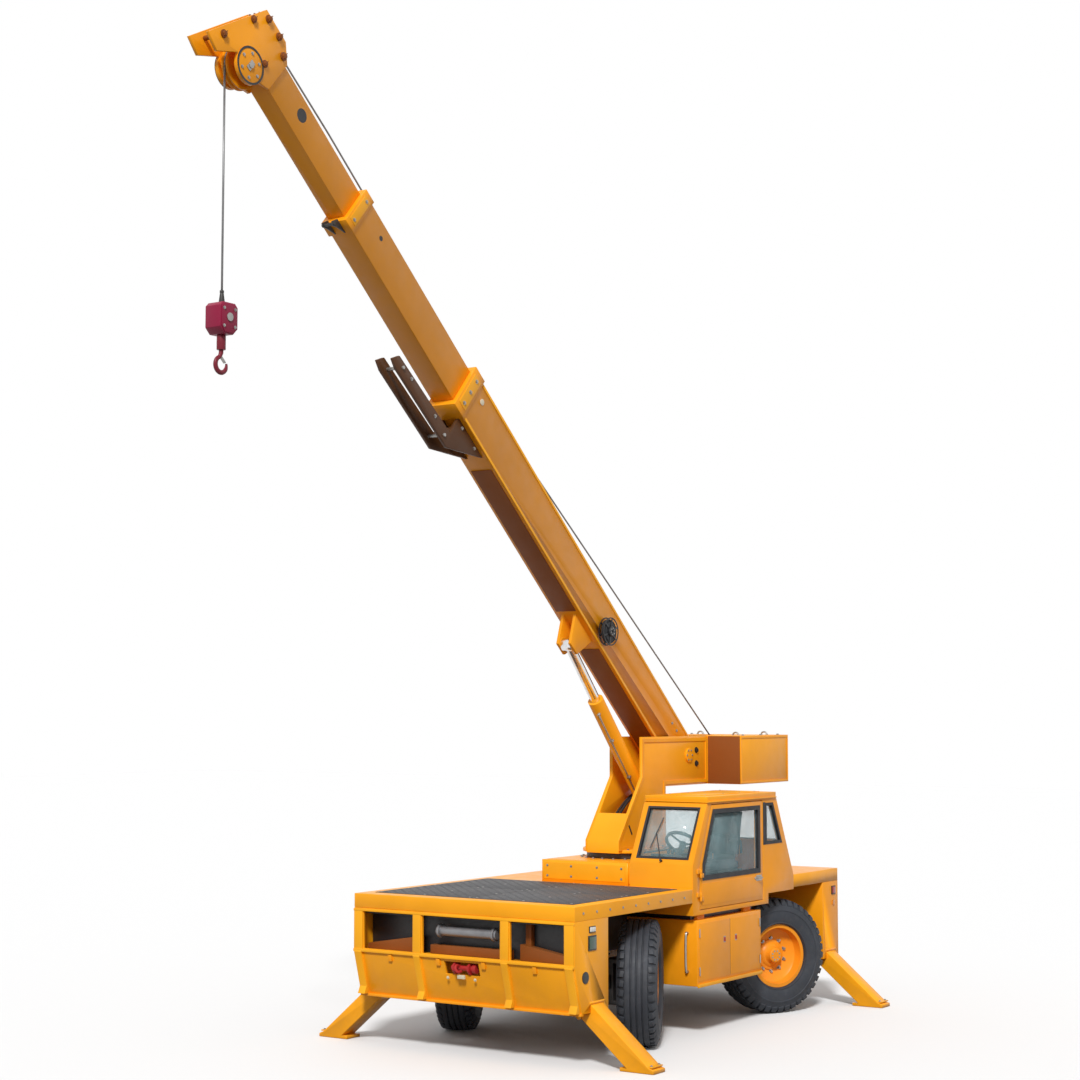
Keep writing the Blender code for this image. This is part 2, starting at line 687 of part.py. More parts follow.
def make_slew_ring(root):
    ring = rod("slew_ring", SLEW_RADIUS, (SLEW_X, 0, PLATFORM_TOP + GAP),
               (SLEW_X, 0, PLATFORM_TOP + SLEW_HEIGHT), root, 48)
    return finish(ring, DARK)


def make_turret(axis):
    """Two tall side plates on a round floor, tied front and back, with the boom foot pin.

    Below the cab roof every corner stays inside the circle that slews past the cab.
    """
    x0 = axis.location.x
    reach = sqrt(COLUMN_RADIUS ** 2 - TURRET_OUTER ** 2) - 0.01
    floor = PLATFORM_TOP + SLEW_HEIGHT + GAP
    inner = TURRET_OUTER - TURRET_PLATE
    tail = TAIL_FRONT - x0 + GAP
    front_low, front_high = 1.80, 2.42
    front_top = 0.0
    outline = [(reach, floor), (reach, front_low), (front_top, front_high),
               (front_top, TURRET_TOP), (tail, TURRET_TOP), (tail, TAIL_BOTTOM),
               (-reach, TAIL_BOTTOM), (-reach, floor)]
    turret = plate("turret", outline, inner, TURRET_OUTER, axis)
    other = plate("turret_right_plate", outline, -TURRET_OUTER, -inner, axis)
    tools = [other, rod("turret_floor", 0.44, (0, 0, floor), (0, 0, floor + 0.03), axis, 48)]
    slope = (front_top - reach) / (front_high - front_low)
    notch = 2.06
    tools.append(plate("turret_front", [(reach, floor), (reach, front_low),
                                        (reach + slope * (notch - front_low), notch),
                                        (reach + slope * (notch - front_low) - 0.03, notch),
                                        (reach - 0.03, front_low), (reach - 0.03, floor)],
                       -inner - 0.01, inner + 0.01, axis))
    eye = FOOT_EYE_RADIUS + RUNNING_GAP
    tools.append(box("turret_back", (-reach, -inner - 0.01, floor),
                     (-reach + 0.02, inner + 0.01, FOOT_Z - eye), axis))
    tools.append(box("turret_back_top", (-reach, -inner - 0.01, FOOT_Z + eye + 0.09),
                     (-reach + 0.02, inner + 0.01, TAIL_BOTTOM + 0.02), axis))
    tools.append(box("turret_tail", (tail, -inner - 0.01, TAIL_BOTTOM),
                     (-reach + 0.02, inner + 0.01, TAIL_BOTTOM + 0.02), axis))
    tools.append(rod("boom_foot_pin", BOOM_PIN_RADIUS, (PIVOT_X - x0, -inner - 0.01, PIVOT_Z),
                     (PIVOT_X - x0, inner + 0.01, PIVOT_Z), axis))
    tools.append(rod("lift_foot_pin", FOOT_PIN_RADIUS, (FOOT_X - x0, -inner - 0.01, FOOT_Z),
                     (FOOT_X - x0, inner + 0.01, FOOT_Z), axis))
    return finish(join(turret, *tools), YELLOW)


def make_counterweight(axis):
    """The tail block, open at the top and the front for the winch."""
    x0 = axis.location.x
    half = TAIL_HALF_WIDTH
    inner = TURRET_OUTER - TURRET_PLATE
    block = box("counterweight", (TAIL_REAR - x0, -half, TAIL_BOTTOM),
                (TAIL_FRONT - x0, half, TURRET_TOP), axis)
    pocket = box("winch_pocket", (WINCH_X - 0.30 - x0, -inner, TAIL_BOTTOM + 0.06),
                 (TAIL_FRONT + 0.1 - x0, inner, TURRET_TOP + 0.1), axis)
    cut(block, pocket)
    hub = (WINCH_X - x0, 0, WINCH_Z)
    for side in (1, -1):
        start = (hub[0], side * (WINCH_WIDTH / 2 + GAP), hub[2])
        join(block, rod(f"winch_bearing_{side}", 0.05, start,
                        (hub[0], side * (inner + 0.02), hub[2]), axis))
    return finish(block, YELLOW)


def make_winch(axis):
    half = WINCH_WIDTH / 2
    drum = 0.11
    profile = [(0, half), (WINCH_RADIUS, half), (WINCH_RADIUS, half - 0.02),
               (drum, half - 0.02), (drum, -half + 0.02), (WINCH_RADIUS, -half + 0.02),
               (WINCH_RADIUS, -half), (0, -half)]
    made = turned("winch_drum", profile, axis)
    smooth(made)
    return finish(made, DARK)


def make_lift_cylinder(barrel_axis, rod_axis):
    """Barrel and rod, both along +X of their own frames; the rod frame sits on its eye."""
    width = TURRET_OUTER - TURRET_PLATE - 0.01
    start = 0.16
    barrel = rod("lift_cylinder_barrel", BARREL_RADIUS, (0, 0, 0), (BARREL_LENGTH, 0, 0),
                 barrel_axis)
    eye = rod("lift_barrel_eye", FOOT_EYE_RADIUS, (0, -width, 0), (0, width, 0), barrel_axis)
    join(barrel, eye)
    cut(barrel, rod("lift_foot_bore", bore_radius(FOOT_PIN_RADIUS), (0, -0.3, 0), (0, 0.3, 0),
                    barrel_axis),
        rod("lift_rod_bore", bore_radius(ROD_RADIUS), (start, 0, 0),
            (BARREL_LENGTH + 0.1, 0, 0), barrel_axis))
    finish(barrel, YELLOW)
    piston = rod("lift_cylinder_rod", ROD_RADIUS, (-ROD_LENGTH, 0, 0), (-0.03, 0, 0), rod_axis)
    join(piston, rod("lift_rod_eye", 0.066, (0, -0.055, 0), (0, 0.055, 0), rod_axis, 24))
    finish(piston, CHROME)


# ---------------------------------------------------------------- boom


def section(name, start, end, width, height, parent):
    """A boom section's outer box, centred on the boom's own centre line."""
    return box(name, (start, -width / 2, -BOOM_DROP - height / 2),
               (end, width / 2, -BOOM_DROP + height / 2), parent)


def make_boom_base(axis):
    slide = 2 * GAP
    base = section("boom_base", -BOOM_TAIL, BASE_HEAD, BASE_WIDTH, BASE_HEIGHT, axis)
    collar = section("base_collar", BASE_HEAD - 0.18, BASE_HEAD,
                     BASE_WIDTH + 2 * COLLAR, BASE_HEIGHT + 2 * COLLAR, axis)
    under = -BOOM_DROP - BASE_HEIGHT / 2
    lugs = []
    for side in (1, -1):
        ys = sorted((side * (0.055 + GAP), side * 0.085))
        lugs.append(plate(f"lift_lug_{side}",
                          [(EYE_ALONG - 0.20, under + 0.01), (EYE_ALONG + 0.20, under + 0.01),
                           (EYE_ALONG + 0.08, -EYE_BELOW - 0.06),
                           (EYE_ALONG - 0.08, -EYE_BELOW - 0.06)], *ys, axis))
    join(base, collar, *lugs)
    cut(base, section("base_bore", 0.30, BASE_HEAD + 0.2, MID_WIDTH + 2 * slide,
                      MID_HEIGHT + 2 * slide, axis),
        rod("boom_foot_bore", bore_radius(BOOM_PIN_RADIUS), (0, -0.3, 0), (0, 0.3, 0), axis))
    return finish(base, YELLOW)


def make_boom_mid(axis):
    """The middle section; its frame is the foot pin's, moved along the boom."""
    slide = 2 * GAP
    tail = MID_HEAD - MID_LENGTH
    mid = section("boom_mid", tail, MID_HEAD, MID_WIDTH, MID_HEIGHT, axis)
    collar = section("mid_collar", MID_HEAD - 0.14, MID_HEAD,
                     MID_WIDTH + 2 * COLLAR, MID_HEIGHT + 2 * COLLAR, axis)
    join(mid, collar)
    cut(mid, section("mid_bore", tail - 0.1, MID_HEAD + 0.2, TIP_WIDTH + 2 * slide,
                     TIP_HEIGHT + 2 * slide, axis))
    return finish(mid, YELLOW)


def make_boom_tip(axis):
    """The tip section with its head plates, which carry the hoist sheave between them."""
    wall = 0.014
    tail = TIP_HEAD - TIP_LENGTH
    tip = section("boom_tip", tail, TIP_HEAD, TIP_WIDTH, TIP_HEIGHT, axis)
    outline = [(TIP_HEAD - 0.12, -BOOM_DROP - TIP_HEIGHT / 2 - 0.02), (TIP_HEAD - 0.12, 0.13),
               (TIP_HEAD + 0.02, 0.26), (TIP_HEAD + 0.33, 0.26), (TIP_HEAD + 0.60, -0.46),
               (TIP_HEAD + 0.44, -0.49), (TIP_HEAD + 0.30, -0.30), (TIP_HEAD + 0.05, -0.30)]
    tools = []
    for side in (1, -1):
        ys = sorted((side * (TIP_WIDTH / 2 - 0.004), side * (TIP_WIDTH / 2 + 0.025)))
        tools.append(plate(f"head_plate_{side}", outline, *ys, axis))
        ys = sorted((side * (TIP_WIDTH / 2 - 0.006), side * (TIP_WIDTH / 2 + 0.030)))
        tools.append(rod(f"head_disc_{side}", 0.155, (SHEAVE_ALONG, ys[0], -SHEAVE_BELOW),
                         (SHEAVE_ALONG, ys[1], -SHEAVE_BELOW), axis))
    half = TIP_WIDTH / 2 + 0.01
    tools.append(rod("sheave_pin", 0.03, (SHEAVE_ALONG, -half, -SHEAVE_BELOW),
                     (SHEAVE_ALONG, half, -SHEAVE_BELOW), axis))
    tools.append(box("head_top", (TIP_HEAD - 0.02, -half, 0.20), (TIP_HEAD + 0.33, half, 0.23),
                     axis))
    cut(tip, section("tip_bore", tail - 0.1, TIP_HEAD - 0.10, TIP_WIDTH - 2 * wall,
                     TIP_HEIGHT - 2 * wall, axis))
    cut(tip, rod("sheave_well", SHEAVE_RADIUS + RUNNING_GAP,
                 (SHEAVE_ALONG, -SHEAVE_WIDTH / 2 - RUNNING_GAP, -SHEAVE_BELOW),
                 (SHEAVE_ALONG, SHEAVE_WIDTH / 2 + RUNNING_GAP, -SHEAVE_BELOW), axis))
    join(tip, *tools)
    return finish(tip, YELLOW)


def make_sheave(axis):
    half = SHEAVE_WIDTH / 2
    groove = SHEAVE_RADIUS - 0.02
    hole = bore_radius(0.03)
    profile = [(SHEAVE_RADIUS, half), (SHEAVE_RADIUS, 0.016), (groove, 0.010), (groove, -0.010),
               (SHEAVE_RADIUS, -0.016), (SHEAVE_RADIUS, -half), (hole, -half), (hole, half)]
    made = turned("hoist_sheave", profile, axis)
    smooth(made)
    return finish(made, DARK)


def make_hoist_rope(axis):
    """The rope's fall and the hook block, plumb under the front of the sheave."""
    x = SHEAVE_RADIUS - 0.02 + ROPE_RADIUS + GAP
    rope = rod("hoist_rope", ROPE_RADIUS, (x, 0, 0), (x, 0, -ROPE_FALL), axis, 12)
    finish(rope, STEEL)
    top = -ROPE_FALL - GAP
    half = BLOCK_WIDTH / 2
    outline = [(x - half, top - 0.03), (x - half + 0.03, top), (x + half - 0.03, top),
               (x + half, top - 0.03), (x + half, top - BLOCK_HEIGHT + 0.05),
               (x + half - 0.05, top - BLOCK_HEIGHT), (x - half + 0.05, top - BLOCK_HEIGHT),
               (x - half, top - BLOCK_HEIGHT + 0.05)]
    block = plate("hook_block", outline, -0.08, 0.08, axis)
    return finish(block, CRIMSON)


def make_hook(axis):
    """A forged hook on its swivel shank, below the frame's origin."""
    curve = bpy.data.curves.new("hook", "CURVE")
    curve.dimensions = "3D"
    curve.bevel_depth = 0.020
    curve.bevel_resolution = 2
    curve.use_fill_caps = True
    curl = 0.062
    centre = -0.235
    points = [(0, -0.10), (0, -0.14)]
    points += [(curl * sin(radians(turn)), centre + curl * cos(radians(turn)))
               for turn in range(20, 281, 20)]
    spline = curve.splines.new("POLY")
    spline.points.add(len(points) - 1)
    for point, (across, up) in zip(spline.points, points):
        point.co = (across, 0, up, 1)
    drawn = bpy.data.objects.new("hook_line", curve)
    bpy.context.scene.collection.objects.link(drawn)
    graph = bpy.context.evaluated_depsgraph_get()
    data = bpy.data.meshes.new_from_object(drawn.evaluated_get(graph))
    bpy.data.objects.remove(drawn, do_unlink=True)
    mesh = bmesh.new()
    mesh.from_mesh(data)
    bmesh.ops.remove_doubles(mesh, verts=mesh.verts, dist=1e-5)
    bmesh.ops.recalc_face_normals(mesh, faces=mesh.faces)
    hook = from_bmesh("hook", mesh, axis)
    shank = rod("hook_shank", 0.038, (0, 0, -0.12), (0, 0, -GAP), axis, 20)
    return finish(join(hook, shank), STEEL)


def make_cable_reel(axis):
    reel = rod("cable_reel", REEL_RADIUS, (0, 0.02, 0), (0, 0.08, 0), axis)
    hub = rod("cable_reel_hub", 0.05, (0, 0, 0), (0, 0.10, 0), axis)
    return finish(join(reel, hub), RUBBER)


def make_hook_fork(axis):
    """The two-pronged guide under the base section's head, with the rope free between."""
    under = -BOOM_DROP - BASE_HEIGHT / 2 - GAP
    start = BASE_HEAD - 0.18 - GAP
    outline = [(start - 0.50, under), (start, under), (start, under - 0.20),
               (start + 0.95, under - 0.24), (start + 1.00, under - 0.33),
               (start + 0.90, under - 0.36), (start - 0.05, under - 0.34)]
    fork = plate("hook_fork", outline, 0.07, 0.10, axis)
    join(fork, plate("hook_fork_right", outline, -0.10, -0.07, axis),
         box("hook_fork_tie", (start - 0.20, -0.08, under - 0.14),
             (start - 0.02, 0.08, under - 0.10), axis))
    return finish(fork, DARK)


# ---------------------------------------------------------------- assembly


def build_running_gear(root):
    for name, x in (("front_axle", FRONT_AXLE_X), ("rear_axle", REAR_AXLE_X)):
        make_axle(root, name, x)
    for name, x, side in CORNERS:
        rest = STEER_REST if x > 0 else -STEER_REST
        turn = rest if side > 0 else rest + pi
        steering = empty(f"steer_{name}", root, (x, side * KINGPIN_Y, TYRE_RADIUS), (0, 0, turn))
        make_knuckle(f"knuckle_{name}", steering)
        spin = empty(f"spin_{name}", steering, (0, TRACK_HALF - KINGPIN_Y, 0))
        make_rim(f"rim_{name}", spin)
        make_tyre(f"tyre_{name}", spin)


def build_body(root):
    legs = {(end, side): leg_frame(root, f"slide_{end}_{'left' if side > 0 else 'right'}", x, side)
            for end, x in (("front", FRONT_LEG_X), ("rear", REAR_LEG_X)) for side in (1, -1)}
    make_frame(root)
    make_engine(root)
    make_deck(root)
    make_platform(root)
    make_front_body(root, [legs["front", 1], legs["front", -1]])
    make_rear_body(root, [legs["rear", 1], legs["rear", -1]])
    for (end, side), frame in legs.items():
        make_leg(f"outrigger_{end}_{'left' if side > 0 else 'right'}", frame)
    make_side_box(root, "left_side_box", 1)
    make_side_box(root, "right_side_box", -1)


def build_cab(root):
    make_cab(root)
    make_cab_glass(root)
    make_roof(root)
    hinge = empty("hinge_cab_door", root, (HINGE_X, BODY_HALF_WIDTH + HINGE_RADIUS, 0))
    make_door(hinge)
    make_seat(root)
    make_console(root)


def build_upper(root):
    """The turret and everything that slews with it."""
    make_slew_ring(root)
    slew = empty("slew_axis", root, (SLEW_X, 0, 0))
    make_turret(slew)
    make_counterweight(slew)
    winch = empty("winch_axis", slew, (WINCH_X - SLEW_X, 0, WINCH_Z))
    make_winch(winch)

    luff = empty("luff_axis", slew, (PIVOT_X - SLEW_X, 0, PIVOT_Z), (0, -BOOM_REST, 0))
    make_boom_base(luff)
    make_hook_fork(luff)
    reel = empty("reel_axis", luff, (REEL_ALONG, BASE_WIDTH / 2 + GAP, -REEL_BELOW))
    make_cable_reel(reel)
    mid = empty("mid_slide", luff)
    make_boom_mid(mid)
    tip = empty("tip_slide", mid)
    make_boom_tip(tip)
    sheave = empty("sheave_axis", tip, (SHEAVE_ALONG, 0, -SHEAVE_BELOW), (0, BOOM_REST, 0))
    make_sheave(sheave)
    hang = empty("hang_axis", tip, (SHEAVE_ALONG, 0, -SHEAVE_BELOW), (0, BOOM_REST, 0))
    make_hoist_rope(hang)
    rope_x = SHEAVE_RADIUS - 0.02 + ROPE_RADIUS + GAP
    swivel = empty("hook_axis", hang, (rope_x, 0, -ROPE_FALL - BLOCK_HEIGHT - GAP))
    make_hook(swivel)

    eye_x = PIVOT_X + EYE_ALONG * cos(BOOM_REST) + EYE_BELOW * sin(BOOM_REST)
    eye_z = PIVOT_Z + EYE_ALONG * sin(BOOM_REST) - EYE_BELOW * cos(BOOM_REST)
    lean = atan2(eye_z - FOOT_Z, eye_x - FOOT_X)
    length = hypot(eye_x - FOOT_X, eye_z - FOOT_Z)
    barrel = empty("lift_axis", slew, (FOOT_X - SLEW_X, 0, FOOT_Z), (0, -lean, 0))
    piston = empty("lift_slide", barrel, (length, 0, 0))
    make_lift_cylinder(barrel, piston)


def centre_on_ground(root):
    """Moves the root so that the footprint's middle is the origin and the lowest point is z = 0."""
    bpy.context.view_layer.update()
    graph = bpy.context.evaluated_depsgraph_get()
    low = Vector((1e9, 1e9, 1e9))
    high = -low
    for obj in crane.objects:
        if obj.type != "MESH":
            continue
        shown = obj.evaluated_get(graph)
        for vertex in shown.data.vertices:
            point = shown.matrix_world @ vertex.co
            low = Vector(map(min, low, point))
            high = Vector(map(max, high, point))
    root.location = (-(low.x + high.x) / 2, -(low.y + high.y) / 2, -low.z)


clear_scene()
bpy.context.scene.collection.children.link(crane)
bpy.context.scene.collection.children.link(helpers)

YELLOW = material("yellow_paint", (0.87, 0.42, 0.03), 0.45)
ORANGE = material("orange_paint", (0.80, 0.26, 0.015), 0.45)
DARK = material("dark_steel", (0.045, 0.04, 0.038), 0.6, 0.4)
CAST = material("engine_iron", (0.10, 0.10, 0.11), 0.7, 0.6)
RIM = material("rim_paint", (0.72, 0.24, 0.03), 0.5)
RUBBER = material("rubber", (0.018, 0.02, 0.026), 0.85)
GLASS_LOOK = material("cab_glass", (0.42, 0.55, 0.56), 0.05)
SEAT = material("seat_vinyl", (0.03, 0.03, 0.035), 0.7)
CHROME = material("chromed_rod", (0.75, 0.75, 0.75), 0.15, 1.0)
STEEL = material("bare_steel", (0.30, 0.29, 0.28), 0.5, 0.9)
CRIMSON = material("hook_block_paint", (0.30, 0.025, 0.06), 0.5)

crane_root = empty("crane_root")
build_body(crane_root)
build_running_gear(crane_root)
build_cab(crane_root)
build_upper(crane_root)
centre_on_ground(crane_root)
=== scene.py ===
"""Looks of the carry-deck crane: a material for each CAD node, and the detail pieces that ride
on the CAD bodies.

Metres.  Most pieces are placed in one of three frames: CAR, from the ground under the middle of
the body; BOOM, from the boom's foot pin with X along the boom; and each wheel's own.
"""

import json
from math import atan2, cos, pi, radians, sin

import bmesh
import bpy
from mathutils import Matrix, Vector

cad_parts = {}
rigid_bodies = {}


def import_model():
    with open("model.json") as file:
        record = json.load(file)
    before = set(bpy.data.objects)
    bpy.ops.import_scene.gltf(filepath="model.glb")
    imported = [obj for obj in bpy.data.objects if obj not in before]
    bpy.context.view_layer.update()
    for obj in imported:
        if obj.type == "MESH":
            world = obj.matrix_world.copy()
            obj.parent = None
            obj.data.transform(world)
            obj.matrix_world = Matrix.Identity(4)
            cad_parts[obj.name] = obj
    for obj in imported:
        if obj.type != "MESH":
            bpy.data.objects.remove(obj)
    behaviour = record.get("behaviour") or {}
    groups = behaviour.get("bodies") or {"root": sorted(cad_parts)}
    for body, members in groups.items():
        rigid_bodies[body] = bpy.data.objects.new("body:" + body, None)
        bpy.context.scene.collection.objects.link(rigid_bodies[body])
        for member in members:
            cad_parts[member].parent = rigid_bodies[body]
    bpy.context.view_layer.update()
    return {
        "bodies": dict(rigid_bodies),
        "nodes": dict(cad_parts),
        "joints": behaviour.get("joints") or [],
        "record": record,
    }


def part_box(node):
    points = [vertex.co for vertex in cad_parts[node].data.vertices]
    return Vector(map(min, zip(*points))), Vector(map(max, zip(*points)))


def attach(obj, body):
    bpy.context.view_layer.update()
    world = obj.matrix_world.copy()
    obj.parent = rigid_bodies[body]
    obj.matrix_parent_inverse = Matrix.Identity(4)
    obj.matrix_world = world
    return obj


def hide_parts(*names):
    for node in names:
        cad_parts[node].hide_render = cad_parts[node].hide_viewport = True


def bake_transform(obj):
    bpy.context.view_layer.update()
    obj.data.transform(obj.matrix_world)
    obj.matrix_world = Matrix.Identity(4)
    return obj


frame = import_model()

# ---------------------------------------------------------------- places from the frame

JOINTS = {joint["name"]: joint for joint in frame["joints"]}
CORNERS = ("front_left", "front_right", "rear_left", "rear_right")


def place(joint):
    return Vector(JOINTS[joint]["pos_m"])


SIDE = 1.22                      # half the body's width
HALF_LENGTH = 2.60
DECK_TOP, PLATFORM_TOP = 1.40, 1.615
SUNK = 0.0005                    # how deep a laid-on piece starts inside its face
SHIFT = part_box("deck")[0].x + HALF_LENGTH
PIVOT = place("boom_luff")
ALONG = Vector(JOINTS["boom_mid_extend"]["axis"])
BOOM = Matrix.Translation(PIVOT) @ Matrix.Rotation(-atan2(ALONG.z, ALONG.x), 4, "Y")
CAR = Matrix.Translation((SHIFT, 0, 0))
CENTRE_LINE = -0.03              # of the boom, below its foot pin
BASE_WIDTH, BASE_HEIGHT, BASE_HEAD = 0.29, 0.47, 5.23
MID_WIDTH, MID_HEIGHT, MID_HEAD = 0.235, 0.39, 7.28
TIP_WIDTH = 0.18
SHEAVE_ALONG, SHEAVE_UP = 8.84, -0.254       # the hoist sheave's centre in BOOM


def body_point(x, y, z):
    """A point measured from the ground under the middle of the body."""
    return Vector((x + SHIFT, y, z))


# ---------------------------------------------------------------- materials


class Nodes:
    """A short way to wire a shader."""

    def __init__(self, name):
        self.material = bpy.data.materials.new(name)
        self.material.use_nodes = True
        self.tree = self.material.node_tree
        self.shader = self.tree.nodes["Principled BSDF"]
        self.where = self.add("ShaderNodeTexCoord").outputs["Object"]

    def add(self, kind, **settings):
        node = self.tree.nodes.new(kind)
        for key, value in settings.items():
            setattr(node, key, value)
        return node

    def link(self, source, target):
        self.tree.links.new(source, target)

    def noise(self, scale, detail=4.0, roughness=0.6, stretch=(1, 1, 1)):
        mapping = self.add("ShaderNodeMapping")
        mapping.inputs["Scale"].default_value = stretch
        self.link(self.where, mapping.inputs["Vector"])
        node = self.add("ShaderNodeTexNoise")
        node.inputs["Scale"].default_value = scale
        node.inputs["Detail"].default_value = detail
        node.inputs["Roughness"].default_value = roughness
        self.link(mapping.outputs["Vector"], node.inputs["Vector"])
        return node.outputs["Fac"]

    def ramp(self, value, low, high, start=0.0, end=1.0):
        node = self.add("ShaderNodeMapRange")
        node.inputs["From Min"].default_value = low
        node.inputs["From Max"].default_value = high
        node.inputs["To Min"].default_value = start
        node.inputs["To Max"].default_value = end
        self.link(value, node.inputs["Value"])
        return node.outputs["Result"]

    def math(self, operation, first, second):
        node = self.add("ShaderNodeMath", operation=operation, use_clamp=True)
        for socket, value in zip(node.inputs, (first, second)):
            if isinstance(value, (int, float)):
                socket.default_value = value
            else:
                self.link(value, socket)
        return node.outputs["Value"]

    def mix(self, amount, first, second):
        node = self.add("ShaderNodeMix", data_type="RGBA")
        for name, value in (("Factor", amount), ("A", first), ("B", second)):
            socket = [s for s in node.inputs if s.name == name and s.enabled][0]
            if isinstance(value, (int, float)):
                socket.default_value = value
            elif isinstance(value, tuple):
                socket.default_value = (*value, 1.0)
            else:
                self.link(value, socket)
        return [s for s in node.outputs if s.enabled][0]

    def bump(self, height, strength, distance=0.004):
        node = self.add("ShaderNodeBump")
        node.inputs["Strength"].default_value = strength
        node.inputs["Distance"].default_value = distance
        self.link(height, node.inputs["Height"])
        self.link(node.outputs["Normal"], self.shader.inputs["Normal"])

    def color(self, value):
        if isinstance(value, tuple):
            self.shader.inputs["Base Color"].default_value = (*value, 1.0)
        else:
            self.link(value, self.shader.inputs["Base Color"])

    def upward(self, low=0.5, high=0.95):
        """1 where the surface faces up."""
        geometry = self.add("ShaderNodeNewGeometry")
        split = self.add("ShaderNodeSeparateXYZ")
        self.link(geometry.outputs["Normal"], split.inputs["Vector"])
        return self.ramp(split.outputs["Z"], low, high)

    def height(self, low, high):
        """1 at the low height and 0 at the high one."""
        split = self.add("ShaderNodeSeparateXYZ")
        self.link(self.where, split.inputs["Vector"])
        return self.ramp(split.outputs["Z"], low, high, 1.0, 0.0)


DUST = (0.42, 0.34, 0.24)
GREASE = (0.06, 0.045, 0.035)


def paint(name, base, rough=0.34, grime=0.15):
    """New enamel: slightly cloudy, orange-peeled, with a trace of dust on top and grime below."""
    made = Nodes(name)
    lighter = tuple(min(1.0, part * 1.05 + 0.004) for part in base)
    darker = tuple(part * 0.91 for part in base)
    color = made.mix(made.ramp(made.noise(1.1, 4), 0.35, 0.68), darker, lighter)
    color = made.mix(made.ramp(made.noise(30.0, 5), 0.45, 0.75, 0.0, 0.10), color, darker)
    streaks = made.ramp(made.noise(6.0, 6, 0.65, (1, 1, 0.08)), 0.60, 0.85, 0.0, 0.10)
    color = made.mix(streaks, color, tuple(part * 0.6 for part in base))
    low = made.math("MULTIPLY", made.height(0.3, 1.0), made.ramp(made.noise(4.0, 6), 0.35, 0.7))
    color = made.mix(made.math("MULTIPLY", low, grime), color, GREASE)
    dusty = made.math("MULTIPLY", made.upward(), made.ramp(made.noise(3.0, 6), 0.35, 0.75))
    color = made.mix(made.math("MULTIPLY", dusty, 0.06), color, DUST)
    made.color(color)
    made.link(made.ramp(made.noise(9.0, 5), 0.3, 0.8, rough - 0.05, rough + 0.12),
              made.shader.inputs["Roughness"])
    made.shader.inputs["Specular IOR Level"].default_value = 0.25
    made.bump(made.noise(140.0, 3), 0.05, 0.001)
    return made.material


def metal(name, base, rough=0.45, metallic=0.9):
    """Bare, oiled or blackened steel with fine scratches and uneven sheen."""
    made = Nodes(name)
    blotch = made.ramp(made.noise(8.0, 7), 0.40, 0.75)
    color = made.mix(blotch, base, tuple(part * 0.72 for part in base))
    color = made.mix(made.ramp(made.noise(45.0, 6), 0.60, 0.78, 0.0, 0.25), color,
                     tuple(min(1.0, part * 1.5 + 0.01) for part in base))
    made.color(color)
    made.shader.inputs["Metallic"].default_value = metallic
    made.link(made.ramp(made.noise(30.0, 4, 0.6), 0.3, 0.8, rough - 0.08, rough + 0.15),
              made.shader.inputs["Roughness"])
    made.bump(made.noise(90.0, 4, 0.6), 0.10, 0.001)
    return made.material


def rubber(name, base, dust=0.15):
    """Matt rubber or vinyl, pebbled, with a grey bloom."""
    made = Nodes(name)
    color = made.mix(made.ramp(made.noise(5.0, 6), 0.4, 0.7), base, tuple(p * 1.5 for p in base))
    color = made.mix(made.math("MULTIPLY", made.ramp(made.noise(11.0, 7), 0.50, 0.80), dust),
                     color, (0.14, 0.14, 0.14))
    made.color(color)
    made.link(made.ramp(made.noise(20.0, 4), 0.3, 0.8, 0.55, 0.80), made.shader.inputs["Roughness"])
    made.bump(made.noise(120.0, 4), 0.18, 0.001)
    return made.material


def glass(name, tint):
    """Cab glazing: thin, faintly cyan, with a light film."""
    made = Nodes(name)
    made.color(made.mix(made.ramp(made.noise(6.0, 6), 0.45, 0.75, 0.0, 0.4), tint,
                        (0.80, 0.86, 0.86)))
    made.shader.inputs["Roughness"].default_value = 0.05
    made.shader.inputs["IOR"].default_value = 1.3
    made.link(made.ramp(made.noise(5.0, 5), 0.35, 0.8, 0.16, 0.30), made.shader.inputs["Alpha"])
    return made.material


def glow(name, base, rough=0.15):
    """A lamp lens or reflector, with fine ribs in it."""
    made = Nodes(name)
    color = made.mix(made.ramp(made.noise(40.0, 4), 0.4, 0.7), base, tuple(p * 0.7 for p in base))
    made.color(color)
    made.shader.inputs["Roughness"].default_value = rough
    made.shader.inputs["Coat Weight"].default_value = 0.5
    made.bump(made.noise(20.0, 2, 0.5, (1, 1, 12)), 0.3, 0.001)
    return made.material


YELLOW = paint("yellow_paint", (0.97, 0.385, 0.006))
ORANGE = paint("orange_paint", (0.95, 0.345, 0.005), grime=0.10)
BOOM_PAINT = paint("boom_paint", (0.96, 0.355, 0.005), grime=0.0)
COLLAR_PAINT = paint("collar_paint", (0.98, 0.42, 0.010))
RIM_PAINT = paint("wheel_paint", (0.93, 0.31, 0.010), grime=0.20)
# A dark brown that paints shade on faces in shadow: the nose's inside, the counterweight's front,
# the boom's underside and the boom head's pins and brackets.
SHADE_BROWN = paint("shaded_paint", (0.24, 0.068, 0.010), 0.5)
# A near-black brown that paints the shade on the hook fork's shadowed face under the boom.
FORK_SHADE_PAINT = paint("fork_painted_shade", (0.085, 0.032, 0.010), 0.45, 0.0)
DECK_PLATE = metal("deck_plate", (0.055, 0.055, 0.058), 0.55, 0.15)
DARK = metal("dark_steel", (0.045, 0.042, 0.040), 0.50, 0.35)
BLACK = metal("black_paint", (0.014, 0.014, 0.016), 0.42, 0.0)
GREY = metal("grey_steel", (0.26, 0.26, 0.27), 0.42, 0.55)
CAST = metal("engine_iron", (0.09, 0.09, 0.10), 0.55, 0.6)
STEEL = metal("zinc_steel", (0.40, 0.39, 0.37), 0.38, 0.85)
CHROME = metal("chromed_rod", (0.80, 0.80, 0.80), 0.16, 1.0)
CRIMSON = paint("hook_block_paint", (0.27, 0.008, 0.045), 0.36, 0.0)
